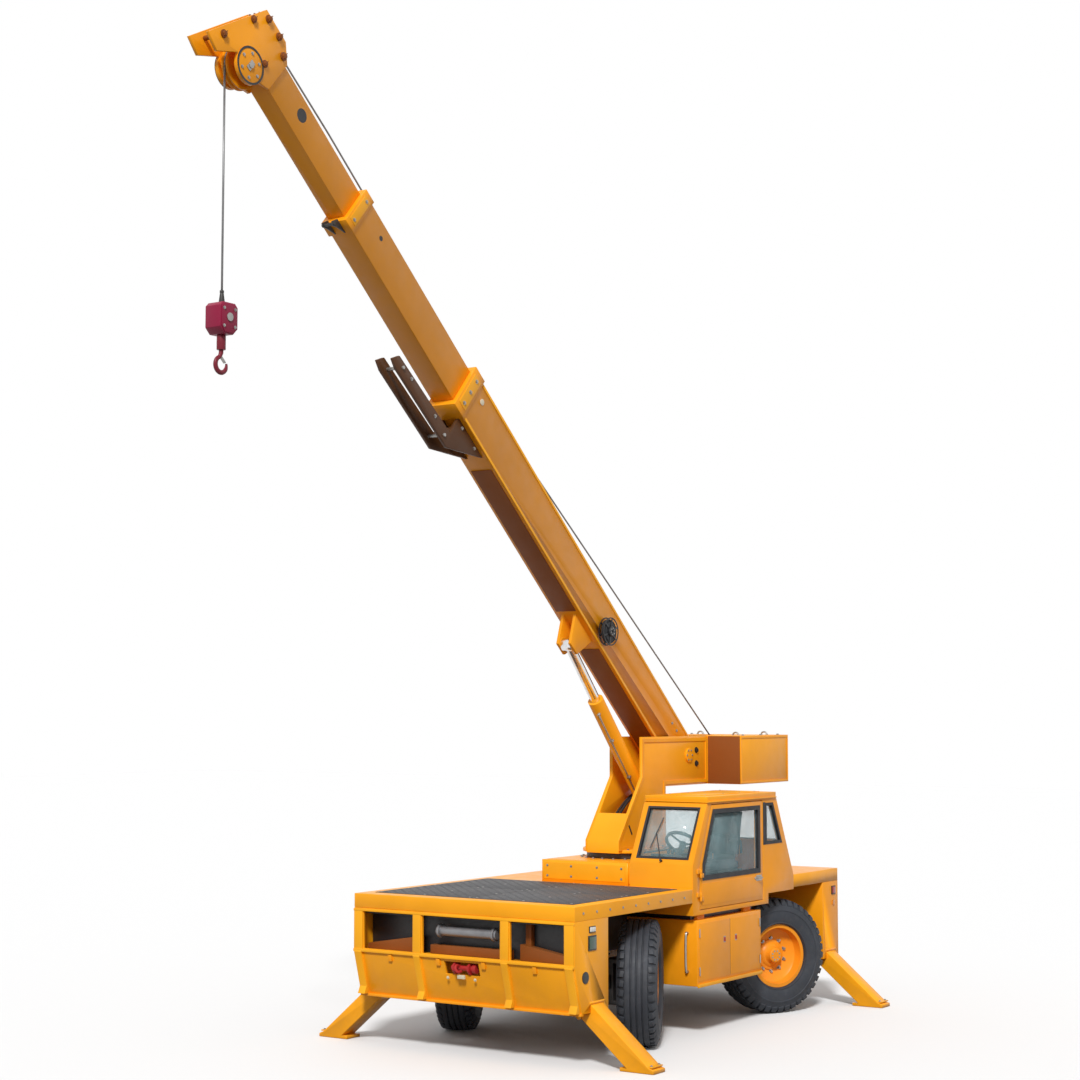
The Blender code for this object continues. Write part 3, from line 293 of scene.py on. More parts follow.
HOOK_PAINT = paint("hook_paint", (0.20, 0.015, 0.03), 0.36, 0.0)
RED = paint("red_paint", (0.42, 0.022, 0.022), 0.36, 0.1)
TYRE = rubber("tyre_rubber", (0.020, 0.023, 0.030))
SEAL = rubber("black_rubber", (0.010, 0.010, 0.012), 0.08)
VINYL = rubber("seat_vinyl", (0.030, 0.034, 0.042), 0.10)
GLASS = glass("cab_glass", (0.50, 0.74, 0.78))
WHITE_LENS = glow("white_lens", (0.80, 0.80, 0.76))
GREEN_LENS = glow("green_lens", (0.02, 0.075, 0.045))
RED_LENS = glow("red_lens", (0.35, 0.012, 0.01))
AMBER_LENS = glow("amber_lens", (0.75, 0.26, 0.02))
CREAM = paint("cream_paint", (0.74, 0.66, 0.48))
INNER = paint("cab_lining", (0.13, 0.13, 0.135), 0.6)
ROPE_STEEL = metal("rope_wire", (0.22, 0.22, 0.22), 0.45, 0.7)

# ---------------------------------------------------------------- shapes


class Shape:
    """Collects solids into one mesh, each placed by its own frame."""

    def __init__(self, frame=None):
        self.mesh = bmesh.new()
        self.frame = frame or Matrix.Identity(4)

    def take(self, made, local=None):
        """Adds another bmesh, moved into place."""
        made.transform(self.frame @ (local or Matrix.Identity(4)))
        data = bpy.data.meshes.new("part")
        made.to_mesh(data)
        made.free()
        self.mesh.from_mesh(data)
        bpy.data.meshes.remove(data)
        return self

    def box(self, first, second, bevel=0.004, local=None):
        """A softened box between two opposite corners, in either order."""
        low, high = Vector(map(min, first, second)), Vector(map(max, first, second))
        made = bmesh.new()
        bmesh.ops.create_cube(made, size=1.0)
        bmesh.ops.scale(made, vec=high - low, verts=made.verts)
        bmesh.ops.translate(made, vec=(low + high) / 2, verts=made.verts)
        if bevel:
            bmesh.ops.bevel(made, geom=made.edges[:], offset=min(bevel, min(high - low) * 0.4),
                            segments=2, affect="EDGES", profile=0.6)
        return self.take(made, local)

    def rod(self, start, end, radius, segments=24, bevel=0.002, end_radius=None):
        start, end = Vector(start), Vector(end)
        along = end - start
        made = bmesh.new()
        bmesh.ops.create_cone(made, cap_ends=True, segments=segments, radius1=radius,
                              radius2=radius if end_radius is None else end_radius,
                              depth=along.length)
        if bevel:
            rims = [edge for edge in made.edges
                    if sum(len(face.verts) > 4 for face in edge.link_faces) == 1]
            bmesh.ops.bevel(made, geom=rims, offset=min(bevel, along.length * 0.3), segments=2,
                            affect="EDGES", profile=0.6)
        turn = along.to_track_quat("Z", "Y").to_matrix().to_4x4()
        return self.take(made, Matrix.Translation((start + end) / 2) @ turn)

    def turned(self, profile, centre=(0, 0, 0), segments=64):
        """A closed profile of (radius, y) points turned round the Y axis."""
        made = bmesh.new()
        rings = []
        for index in range(segments):
            angle = 2 * pi * index / segments
            rings.append([made.verts.new((radius * sin(angle), along, radius * cos(angle)))
                          for radius, along in profile])
        for ring, after in zip(rings, rings[1:] + rings[:1]):
            for first in range(len(profile)):
                second = (first + 1) % len(profile)
                made.faces.new((ring[first], ring[second], after[second], after[first]))
        bmesh.ops.remove_doubles(made, verts=made.verts, dist=1e-6)
        bmesh.ops.recalc_face_normals(made, faces=made.faces)
        return self.take(made, Matrix.Translation(centre))

    def plate(self, outline, low, high, axis="Y", bevel=0.003, local=None):
        """An outline extruded along an axis: (x, z) for Y, (y, z) for X and (x, y) for Z."""
        low, high = sorted((low, high))
        made = bmesh.new()
        spots = {"X": lambda a, b: (low, a, b), "Y": lambda a, b: (a, low, b),
                 "Z": lambda a, b: (a, b, low)}[axis]
        step = {"X": (high - low, 0, 0), "Y": (0, high - low, 0), "Z": (0, 0, high - low)}[axis]
        face = made.faces.new([made.verts.new(spots(a, b)) for a, b in outline])
        grown = bmesh.ops.extrude_face_region(made, geom=[face])
        moved = [item for item in grown["geom"] if isinstance(item, bmesh.types.BMVert)]
        bmesh.ops.translate(made, vec=step, verts=moved)
        bmesh.ops.recalc_face_normals(made, faces=made.faces)
        if bevel:
            bmesh.ops.bevel(made, geom=made.edges[:], offset=bevel, segments=2, affect="EDGES",
                            profile=0.6)
        return self.take(made, local)

    def sweep(self, points, radius, segments=10, closed=False):
        """A round tube through the points."""
        points = [Vector(point) for point in points]
        made = bmesh.new()
        count = len(points)
        across = None
        rings = []
        for index, point in enumerate(points):
            before = points[index - 1] if index or closed else point
            after = points[(index + 1) % count] if index < count - 1 or closed else point
            along = (after - before).normalized()
            if across is None:
                across = along.orthogonal().normalized()
            across = (across - along * across.dot(along)).normalized()
            other = along.cross(across)
            rings.append([made.verts.new(point + (across * cos(2 * pi * turn / segments)
                                                  + other * sin(2 * pi * turn / segments)) * radius)
                          for turn in range(segments)])
        pairs = list(zip(rings, rings[1:])) + ([(rings[-1], rings[0])] if closed else [])
        for ring, after in pairs:
            for first in range(segments):
                second = (first + 1) % segments
                made.faces.new((ring[first], ring[second], after[second], after[first]))
        if not closed:
            made.faces.new(rings[0])
            made.faces.new(rings[-1])
        bmesh.ops.recalc_face_normals(made, faces=made.faces)
        return self.take(made)

    def bolt(self, spot, normal, radius=0.012, height=0.008):
        """A hexagon head on a washer."""
        spot, normal = Vector(spot), Vector(normal).normalized()
        self.rod(spot, spot + normal * 0.003, radius * 1.5, 16, 0)
        return self.rod(spot, spot + normal * (0.003 + height), radius, 6, 0.001)

    def bolts(self, spots, normal, radius=0.012, height=0.008):
        for spot in spots:
            self.bolt(spot, normal, radius, height)
        return self

    def done(self, name, look, body, angle=35, slot=None, blend=None):
        data = bpy.data.meshes.new(name)
        self.mesh.to_mesh(data)
        self.mesh.free()
        made = bpy.data.objects.new(name, data)
        bpy.context.scene.collection.objects.link(made)
        data.materials.append(look)
        data.shade_smooth()
        data.set_sharp_from_angle(angle=radians(angle))
        if blend:
            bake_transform(made)
        else:
            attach(made, body)
        return made


def curve_points(points, steps=8):
    """A smooth line through the points."""
    points = [Vector(point) for point in points]
    ends = [points[0] * 2 - points[1]] + points + [points[-1] * 2 - points[-2]]
    line = []
    for a, b, c, d in zip(ends, ends[1:], ends[2:], ends[3:]):
        for step in range(steps):
            t = step / steps
            line.append(0.5 * (2 * b + (c - a) * t + (2 * a - 5 * b + 4 * c - d) * t * t
                               + (3 * b - a - 3 * c + d) * t ** 3))
    return line + [points[-1]]


def outline_frame(outline, width):
    """The outline and the same moved inwards by a width, as two lists of points."""
    area = sum(a[0] * b[1] - b[0] * a[1] for a, b in zip(outline, outline[1:] + outline[:1]))
    turn = 1 if area > 0 else -1
    lines = []
    for (ax, ay), (bx, by) in zip(outline, outline[1:] + outline[:1]):
        along = Vector((bx - ax, by - ay)).normalized()
        nx, ny = -along.y * turn, along.x * turn
        lines.append((nx, ny, nx * (ax + nx * width) + ny * (ay + ny * width)))
    moved = []
    for (a, b, c), (d, e, f) in zip(lines[-1:] + lines[:-1], lines):
        scale = a * e - b * d
        moved.append(((c * e - b * f) / scale, (a * f - c * d) / scale))
    return moved


def ring_frame(shape, outline, width, low, high, axis="Y", proud=0.0):
    """A flat border of one width that follows an outline."""
    inner = outline_frame(outline, width)
    outer = outline_frame(outline, -proud) if proud else outline
    count = len(outline)
    for index in range(count):
        after = (index + 1) % count
        shape.plate([outer[index], outer[after], inner[after], inner[index]], low, high, axis, 0)


# ---------------------------------------------------------------- CAD nodes

CAD_LOOKS = {
    YELLOW: ("deck", "turret_platform", "turret", "counterweight", "cab_roof", "front_body",
             "outrigger_front_left", "outrigger_front_right", "outrigger_rear_left",
             "outrigger_rear_right"),
    ORANGE: ("left_side_box", "right_side_box", "rear_body", "hoist_sheave", "cab_shell",
             "cab_door"),
    BOOM_PAINT: ("boom_base", "boom_mid", "boom_tip", "lift_cylinder_barrel"),
    # painted shade: the hook fork takes a near-black brown for its shadowed face
    FORK_SHADE_PAINT: ("hook_fork",),
    DARK: ("chassis_frame", "front_axle", "rear_axle", "slew_ring", "winch_drum",
           "knuckle_front_left", "knuckle_front_right", "knuckle_rear_left",
           "knuckle_rear_right"),
    CAST: ("engine_block",), BLACK: ("console", "steering_wheel", "cable_reel"),
    GLASS: ("windscreen", "rear_glass", "quarter_glass", "right_glass", "door_glass"),
    CHROME: ("lift_cylinder_rod",), STEEL: ("hook",), ROPE_STEEL: ("hoist_rope",),
    CRIMSON: ("hook_block",), VINYL: ("operator_seat",),
    RIM_PAINT: tuple(f"rim_{c}" for c in CORNERS),
    TYRE: tuple(f"tyre_{c}" for c in CORNERS),
}
SHARP = ("windscreen", "rear_glass", "quarter_glass", "right_glass", "door_glass", "hoist_rope",
         "hook", "cable_reel", "steering_wheel")


def dress_cad_nodes():
    """Each shown CAD node gets its material, smooth round faces and softened edges."""
    for look, names in CAD_LOOKS.items():
        for name in names:
            node = frame["nodes"][name]
            node.data.materials.clear()
            node.data.materials.append(look)
            node.data.shade_smooth()
            node.data.set_sharp_from_angle(angle=radians(35))
            weld = node.modifiers.new("weld", "WELD")
            weld.merge_threshold = 0.00002
            if name in SHARP:
                continue
            bevel = node.modifiers.new("edges", "BEVEL")
            bevel.width = 0.005
            bevel.segments = 2
            bevel.limit_method = "ANGLE"
            bevel.angle_limit = radians(40)
            bevel.use_clamp_overlap = True


dress_cad_nodes()

# ---------------------------------------------------------------- wheels


def wheel_frame(corner):
    """The middle of the tyre, with +Y out of the vehicle and +Z up."""
    joint = JOINTS[f"wheel_spin_{corner}"]
    out = Vector(joint["axis"])
    if "right" in corner:
        out = -out
    turn = Matrix((Vector((0, 0, 1)).cross(out) * -1, out, Vector((0, 0, 1)))).transposed()
    return Matrix.Translation(joint["pos_m"]) @ turn.to_4x4()


def make_tyre(corner):
    """A wide tyre with a ribbed crown, blocks on the shoulders and a ringed sidewall."""
    crown, half = 0.580, 0.190
    shape = Shape(wheel_frame(corner))
    ribs = []
    for low, high in ((-0.105, -0.060), (-0.045, -0.008), (0.008, 0.045), (0.060, 0.105)):
        ribs += [(crown - 0.016, low - 0.004), (crown - 0.002, low), (crown, low + 0.006),
                 (crown, high - 0.006), (crown - 0.002, high), (crown - 0.016, high + 0.004)]
    side = [(crown - 0.024, 0.128), (crown - 0.036, 0.152), (crown - 0.075, 0.176),
            (crown - 0.110, 0.184), (crown - 0.114, 0.188), (crown - 0.122, 0.188),
            (crown - 0.126, 0.184), (0.420, half - 0.002), (0.370, 0.184), (0.345, 0.176),
            (0.341, 0.179), (0.333, 0.179), (0.329, 0.172), (0.322, 0.160)]
    outer = side + [(0.318, 0.130)]
    profile = [(r, -y) for r, y in reversed(outer)] + ribs + outer
    shape.turned(profile, segments=96)
    blocks = 42
    for number in range(blocks):
        for side_sign in (1, -1):
            angle = 2 * pi * (number + 0.5 * (side_sign > 0)) / blocks
            turn = Matrix.Rotation(angle, 4, "Y") @ Matrix.Rotation(radians(8 * side_sign), 4, "Z")
            shape.plate([(0.112 * side_sign, crown - 0.030), (0.112 * side_sign, crown - 0.004),
                         (0.150 * side_sign, crown - 0.010), (0.176 * side_sign, crown - 0.058),
                         (0.170 * side_sign, crown - 0.080)][::side_sign],
                        -0.028, 0.028, "X", 0.003, turn)
    tyre = shape.done(f"tyre_{corner}_tread", TYRE, f"wheel_{corner}", 40, "rubber")
    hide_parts(f"tyre_{corner}")


def make_rim(corner):
    """A dished disc wheel with its lock ring, hub, nuts and valve."""
    wheel = wheel_frame(corner)
    shape = Shape(wheel)
    half = 0.150
    shape.turned([(0.284, half), (0.318, half), (0.322, half - 0.006), (0.320, half - 0.014),
                  (0.306, half - 0.020), (0.298, half - 0.060), (0.296, -half + 0.060),
                  (0.306, -half + 0.020), (0.320, -half + 0.014), (0.320, -half + 0.002),
                  (0.286, -half + 0.002), (0.282, -0.040), (0.266, -0.020), (0.150, -0.018),
                  (0.150, 0.008), (0.170, 0.012), (0.205, 0.030), (0.250, 0.046),
                  (0.270, 0.062), (0.280, 0.100)], segments=96)
    shape.turned([(0.0001, 0.112), (0.062, 0.112), (0.072, 0.106), (0.078, 0.070),
                  (0.092, 0.052), (0.112, 0.044), (0.128, 0.026), (0.152, 0.020),
                  (0.152, -0.016), (0.0001, -0.016)], segments=64)
    rim = shape.done(f"rim_{corner}_dish", RIM_PAINT, f"wheel_{corner}", 30, "rim_paint")
    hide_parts(f"rim_{corner}")
    nuts = Shape(wheel)
    for number in range(10):
        angle = 2 * pi * number / 10
        spot = Vector((0.172 * sin(angle), 0.012, 0.172 * cos(angle)))
        nuts.bolt(spot, (0, 1, 0), 0.014, 0.020)
        nuts.rod(spot, spot + Vector((0, 0.032, 0)), 0.007, 12)
    for number in range(8):
        angle = 2 * pi * (number + 0.5) / 8
        nuts.bolt((0.046 * sin(angle), 0.110, 0.046 * cos(angle)), (0, 1, 0), 0.006, 0.004)
    nuts.sweep(curve_points([(0.262, 0.050, 0.05), (0.258, 0.085, 0.052), (0.250, 0.110, 0.055)],
                            4),
               0.005)
    nuts.done(f"wheel_nuts_{corner}", STEEL, f"wheel_{corner}")


def make_steering(corner):
    """Kingpin caps, the steering arm and the ram to it."""
    steer = place(f"steer_{corner}")
    side = 1 if "left" in corner else -1
    shape = Shape()
    for up in (1, -1):
        cap = steer + Vector((0, 0, up * 0.21))
        shape.rod(cap, cap + Vector((0, 0, up * 0.018)), 0.05, 24)
        shape.bolts([cap + Vector((0.032 * cos(a), 0.032 * sin(a), up * 0.018))
                     for a in (0.8, 2.4, 3.9, 5.5)], (0, 0, up), 0.007, 0.005)
    inner = Vector((steer.x - 0.13, side * 0.22, steer.z + 0.02))
    shape.rod(inner, (steer.x - 0.13, side * 0.50, steer.z + 0.02), 0.032, 20)
    shape.done(f"kingpin_fittings_{corner}", DARK, "carrier")
    ram = Shape()
    ram.rod((steer.x - 0.13, side * 0.50, steer.z + 0.02),
            (steer.x - 0.13, side * 0.60, steer.z + 0.02), 0.016, 16)
    ram.done(f"steering_ram_rod_{corner}", CHROME, "carrier")
    tube = Shape()
    back = -1 if "front" in corner else 1
    tube.sweep(curve_points([(steer.x + back * 0.06, side * 0.34, 0.66),
                             (steer.x + back * 0.12, side * 0.50, 0.70),
                             (steer.x + back * 0.10, side * 0.62, 0.66),
                             (steer.x + back * 0.07, side * 0.715, 0.62)], 6), 0.009)
    tube.done(f"brake_hose_{corner}", SEAL, "carrier")


for corner in CORNERS:
    make_tyre(corner)
    make_rim(corner)
    make_steering(corner)

# ---------------------------------------------------------------- deck and platform


def make_deck_sheet():
    """Two dark tread sheets inside the painted rim of the deck."""
    sheet = Shape(CAR)
    for low, high in ((0.62, 1.517), (1.523, 2.44)):
        for left, right in ((-1.10, -0.003), (0.003, 1.10)):
            sheet.box((low, left, DECK_TOP + 0.0003), (high, right, DECK_TOP + 0.0045), 0.0015)
    lugs = bmesh.new()
    for row in range(30):
        for column in range(36):
            x, y = 0.66 + row * 0.060, -1.06 + column * 0.0605
            lean = 1 if (row + column) % 2 else -1
            if abs(y) < 0.02 or abs(x - 1.52) < 0.02:
                continue
            low = [lugs.verts.new((x + a, y + b * lean, DECK_TOP + 0.0040))
                   for a, b in ((-0.016, -0.011), (0.002, -0.006), (0.016, 0.011), (-0.002, 0.006))]
            high = [lugs.verts.new((x + a, y + b * lean, DECK_TOP + 0.0068))
                    for a, b in ((-0.012, -0.008), (0.002, -0.003), (0.012, 0.008),
                                 (-0.002, 0.003))]
            lugs.faces.new(high)
            for first in range(4):
                second = (first + 1) % 4
                lugs.faces.new((low[first], low[second], high[second], high[first]))
    bmesh.ops.recalc_face_normals(lugs, faces=lugs.faces)
    sheet.take(lugs)
    sheet.done("deck_tread_sheets", DECK_PLATE, "carrier")
    screws = Shape(CAR)
    for x in (0.66, 1.10, 1.48, 1.56, 1.98, 2.40):
        for y in (-1.06, -0.55, -0.04, 0.04, 0.55, 1.06):
            screws.rod((x, y, DECK_TOP + 0.0045), (x, y, DECK_TOP + 0.008), 0.011, 12, 0.001)
    screws.done("deck_sheet_screws", STEEL, "carrier")


def make_platform_fittings():
    """Bolted cover plates, ring bolts and a kick rail on the turret's platform."""
    covers = Shape(CAR)
    for low, high in (((-1.36, -0.46, PLATFORM_TOP + 0.0003), (-0.80, -0.02, PLATFORM_TOP + 0.004)),
                      ((-1.36, 0.02, PLATFORM_TOP + 0.0003), (-0.80, 0.46, PLATFORM_TOP + 0.004)),
                      ((0.28, -0.46, PLATFORM_TOP + 0.0003), (0.50, 0.46, PLATFORM_TOP + 0.004))):
        covers.box(low, high, 0.002)
    for side in (1, -1):
        covers.box((-1.38, side * 0.500, 1.42), (0.52, side * 0.508, 1.60), 0.002)
    covers.box((0.5403, -0.47, 1.43), (0.546, 0.47, 1.59), 0.002)
    covers.done("platform_covers", YELLOW, "carrier")
    bolts = Shape(CAR)
    for number in range(24):
        angle = 2 * pi * number / 24
        bolts.bolt((-0.25 + 0.455 * cos(angle), 0.455 * sin(angle), PLATFORM_TOP + 0.0003),
                   (0, 0, 1), 0.012, 0.010)
    for x in (-1.33, -1.08, -0.83):
        for y in (-0.43, -0.05, 0.05, 0.43):
            bolts.bolt((x, y, PLATFORM_TOP + 0.004), (0, 0, 1), 0.008, 0.005)
    for y in (-0.43, -0.15, 0.15, 0.43):
        bolts.bolt((0.5460, y, 1.46), (1, 0, 0), 0.008, 0.005)
        bolts.bolt((0.5460, y, 1.56), (1, 0, 0), 0.008, 0.005)
    bolts.done("platform_bolts", STEEL, "carrier")


def make_nose():
    """Ribs, lips, a black sheet and brown beams that paint the shade inside the openings, the cross
    tube and the towing gear of the front plate.
    """
    ribs = Shape(CAR)
    for y, half in ((-0.485, 0.045), (0.485, 0.045), (-1.165, 0.05), (1.165, 0.05)):
        ribs.box((2.597, y - half, 0.885), (2.610, y + half, 1.262), 0.004)
        ribs.plate([(2.590, 0.900), (2.612, 0.890), (2.620, 0.868), (2.530, 0.545),
                    (2.560, 0.478), (2.470, 0.472)], y - half * 0.8, y + half * 0.8, "Y", 0.004)
    ribs.box((2.597, -SIDE, 1.240), (2.612, SIDE, 1.262), 0.004)
    ribs.box((2.580, -1.218, 0.868), (2.616, 1.218, 0.896), 0.006)
    ribs.done("nose_ribs", COLLAR_PAINT, "carrier")
    lips = Shape(CAR)
    lips.box((2.452, -1.218, 0.452), (2.500, 1.218, 0.478), 0.006)
    for side in (1, -1):
        for y in (0.25, 0.80):
            lips.plate([(2.590, 0.862), (2.606, 0.862), (2.596, 0.80), (2.575, 0.80)],
                       side * y - 0.02, side * y + 0.02, "Y", 0.003)
    lips.done("nose_lips", ORANGE, "carrier")
    # A black sheet at the back of the openings and under their top: painted shade, where the recess
    # is dark.
    dark = Shape(CAR)
    dark.box((2.370, -1.175, 0.884), (2.377, 1.175, 1.235), 0.001)
    dark.box((2.36, -1.175, 1.222), (2.56, 1.175, 1.228), 0.001)
    dark.done("nose_inside", BLACK, "carrier")
    # Beams in the shaded brown: real beams whose colour paints the shadows that the sleeves throw.
    beams = Shape(CAR)
    for side in (1, -1):
        outline = [(side * 0.56, 0.884), (side * 1.16, 0.884), (side * 1.16, 0.935),
                   (side * 0.56, 1.030)]
        beams.plate(outline if side > 0 else outline[::-1], 2.385, 2.47, "X", 0.006)
        beams.box((2.385, min(side * 0.60, side * 0.66), 1.00),
                  (2.44, max(side * 0.60, side * 0.66), 1.222), 0.005)
    beams.box((2.385, -0.44, 0.884), (2.46, 0.44, 0.965), 0.006)
    beams.done("nose_beams_painted_shadow", SHADE_BROWN, "carrier")
    tube = Shape(CAR)
    tube.rod((2.485, -0.33, 1.10), (2.485, 0.33, 1.10), 0.045, 40, 0.004)
    for y in (-0.30, 0.30):
        tube.rod((2.485, y - 0.012, 1.10), (2.485, y + 0.012, 1.10), 0.062, 40, 0.003)
    tube.done("nose_cross_tube", GREY, "carrier")
    tow = Shape(CAR)
    tow.rod((2.545, -0.125, 0.79), (2.545, 0.125, 0.79), 0.026, 24, 0.004)
    tow.rod((2.545, 0.110, 0.79), (2.545, 0.150, 0.79), 0.042, 24, 0.005)
    tow.sweep(curve_points([(2.54, -0.04, 0.80), (2.60, -0.04, 0.815), (2.63, -0.03, 0.79),
                            (2.62, -0.01, 0.762), (2.585, 0.0, 0.765)], 6), 0.014)
    tow.plate([(2.49, 0.735), (2.57, 0.735), (2.60, 0.77), (2.60, 0.815), (2.57, 0.84),
               (2.49, 0.84)],
              -0.092, -0.072, "Y", 0.003)
    tow.plate([(2.49, 0.735), (2.57, 0.735), (2.60, 0.77), (2.60, 0.815), (2.57, 0.84),
               (2.49, 0.84)],
              0.072, 0.092, "Y", 0.003)
    tow.done("tow_pin_and_hook", RED, "carrier")
    bit = Shape(CAR)
    bit.plate([(2.585, 0.70), (2.602, 0.70), (2.606, 0.735), (2.588, 0.735)], -0.03, 0.05, "Y",
              0.002)
    for y in (-0.15, 0.15):
        bit.bolt((2.578, y, 0.700), (0.97, 0, -0.26), 0.010, 0.008)
    bit.done("tow_catch", CREAM, "carrier")


def on_side(shape, side, along, up, thick, bevel, sunk):
    """Lays a flat piece on one of the body's sides."""
    shape.box((along[0], side * (SIDE - sunk), up[0]), (along[1], side * (SIDE + thick), up[1]),
              bevel)


def make_lamps():
    """Side and rear lamps, reflectors and their dark surrounds."""
    seats, green, white, red, amber = (Shape(CAR) for _ in range(5))
    for side in (1, -1):
        def flat(shape, x0, x1, z0, z1, thick, bevel=0.003):
            on_side(shape, side, (x0, x1), (z0, z1), thick, bevel, SUNK)

        flat(seats, 2.255, 2.385, 1.005, 1.135, 0.008)
        flat(green, 2.267, 2.373, 1.017, 1.123, 0.014, 0.004)
        flat(seats, 2.270, 2.370, 1.160, 1.215, 0.008)
        flat(white, 2.278, 2.362, 1.167, 1.208, 0.016, 0.006)
        seats.rod((2.43, side * (SIDE - SUNK), 0.78), (2.43, side * 1.226, 0.78), 0.052, 32, 0.002)
        flat(seats, -2.53, -2.44, 1.13, 1.22, 0.008)
        flat(red, -2.52, -2.45, 1.14, 1.21, 0.014, 0.004)
        flat(amber, -2.50, -2.46, 1.02, 1.07, 0.010)
        seats.box((-2.612, side * 0.86, 1.06), (-2.5995, side * 1.14, 1.20), 0.004)
        mid = side * 1.00
        red.rod((-2.612, mid + 0.07, 1.13), (-2.628, mid + 0.07, 1.13), 0.050, 32, 0.005)
        amber.rod((-2.612, mid - 0.07, 1.13), (-2.628, mid - 0.07, 1.13), 0.050, 32, 0.005)
    seats.done("lamp_seats", BLACK, "carrier")
    green.done("side_lens_green", GREEN_LENS, "carrier")
    white.done("side_lamp_white", WHITE_LENS, "carrier")
    red.done("lamps_red", RED_LENS, "carrier")
    amber.done("lamps_amber", AMBER_LENS, "carrier")


def make_side_fittings():
    """Locker doors, latches, hinges, lips and the deck band's bolts, on both sides."""
    panels, trims, steel, marks, gaps = (Shape(CAR) for _ in range(5))
    for side in (1, -1):
        def flat(shape, x0, x1, z0, z1, thick, bevel=0.0015):
            on_side(shape, side, (x0, x1), (z0, z1), thick, bevel, 0.0002)

        flat(panels, -0.80, -0.19, 0.53, 1.07, 0.004)
        flat(panels, -0.18, 0.43, 0.53, 1.07, 0.004)
        flat(trims, -0.83, 0.46, 0.470, 0.502, 0.016, 0.004)
        flat(gaps, -0.188, -0.182, 0.53, 1.07, 0.002, 0)
        for x in (-0.30, -0.07):
            flat(marks, x - 0.012, x + 0.012, 0.86, 0.90, 0.012, 0.003)
            flat(steel, x - 0.020, x + 0.020, 0.85, 0.91, 0.006, 0.002)
        for x in (-0.795, 0.425):
            for z in (0.62, 0.98):
                start = Vector((x, side * 1.228, z - 0.04))
                steel.rod(start, start + Vector((0, 0, 0.08)), 0.007, 12, 0.001)
        for number in range(9):
            x = 0.70 + number * 0.22
            steel.bolt((x, side * SIDE, 1.335), (0, side, 0), 0.008, 0.005)
        gaps.box((-0.80, side * 0.50, 1.101), (0.43, side * 1.13, 1.148 if side > 0 else 1.268),
                 0.002)
        steel.sweep(curve_points([(0.464, side * 1.12, 0.62), (0.50, side * 1.12, 0.63),
                                  (0.508, side * 1.12, 0.80), (0.50, side * 1.12, 0.97),
                                  (0.464, side * 1.12, 0.98)], 6), 0.011)
        arch = [(-2.05, 1.262), (-1.95, 1.255), (-1.10, 1.255), (-1.02, 1.262)]
        if side < 0:
            gaps.sweep([(x, side * 1.205, z) for x, z in arch], 0.006)
    panels.done("locker_doors", ORANGE, "carrier")
    trims.done("locker_lips", COLLAR_PAINT, "carrier")
    steel.done("side_hardware", STEEL, "carrier")
    marks.done("locker_latches", RED, "carrier")
    gaps.done("dark_gaps", BLACK, "carrier")
    rear = Shape(CAR)
    rear.box((-2.606, -0.72, 0.60), (-2.599, 0.72, 1.22), 0.002)
    for y in (-0.45, 0.45):
        rear.box((-2.612, y - 0.05, 0.53), (-2.599, y + 0.05, 0.58), 0.003)
    rear.done("rear_cover", YELLOW, "carrier")
    grille = Shape(CAR)
    for number in range(13):
        z = 0.68 + number * 0.04
        grille.plate([(-2.606, z), (-2.618, z + 0.006), (-2.614, z + 0.018), (-2.606, z + 0.014)],
                     -0.50, 0.50, "Y", 0.001)
    grille.done("rear_grille", BLACK, "carrier")
    hitch = Shape(CAR)
    hitch.rod((-2.60, 0, 0.545), (-2.665, 0, 0.545), 0.035, 24, 0.004)
    hitch.sweep([(-2.672 - 0.035 * sin(a), 0.035 * cos(a), 0.545)
                 for a in [2 * pi * n / 24 for n in range(24)]], 0.011, 10, True)
    hitch.done("rear_tow_eye", STEEL, "carrier")


def make_underside():
    """Leaf springs with their clips over the axles, the drive shafts and fittings on the engine."""
    springs, steel, dark = Shape(CAR), Shape(CAR), Shape(CAR)
    for x in (1.18, -1.53):
        for side in (1, -1):
            y = side * 0.40
            for leaf in range(4):
                half = 0.42 - leaf * 0.08
                z = 0.735 - leaf * 0.013
                end = z + 0.03 * half / 0.42
                springs.plate([(x - half, end), (x, z), (x + half, end), (x + half, end + 0.012),
                               (x, z + 0.012), (x - half, end + 0.012)],
                              y - 0.035, y + 0.035, "Y", 0.002)
            for dx in (-0.07, 0.07):
                for dy in (-0.045, 0.045):
                    steel.rod((x + dx, y + dy, 0.50), (x + dx, y + dy, 0.77), 0.009, 12, 0.001)
            dark.box((x - 0.10, y - 0.06, 0.478), (x + 0.10, y + 0.06, 0.496), 0.003)
        dark.rod((x, 0, 0.58), (x + (0.20 if x < 0 else -0.20), 0, 0.60), 0.07, 24, 0.006)
    dark.rod((-1.33, 0, 0.60), (0.98, 0, 0.60), 0.035, 24, 0.004)
    for x in (-1.25, 0.90):
        dark.rod((x, 0, 0.60), (x + 0.05, 0, 0.60), 0.060, 24, 0.004)
    springs.done("leaf_springs", DARK, "carrier")
    steel.done("spring_clips", STEEL, "carrier")
    dark.done("drive_shaft", DARK, "carrier")
    engine = Shape(CAR)
    for number in range(4):
        x = -1.95 + number * 0.21
        engine.rod((x, 0.12, 1.235), (x, 0.12, 1.262), 0.035, 20, 0.003)
    engine.box((-2.03, -0.30, 0.93), (-1.17, 0.30, 0.905), 0.004)
    engine.sweep(curve_points([(-1.25, -0.36, 0.98), (-1.25, -0.55, 0.96), (-1.45, -0.62, 0.86),
                               (-1.85, -0.64, 0.82), (-2.15, -0.62, 0.80)], 8), 0.032, 16)
    engine.done("engine_fittings", CAST, "carrier")


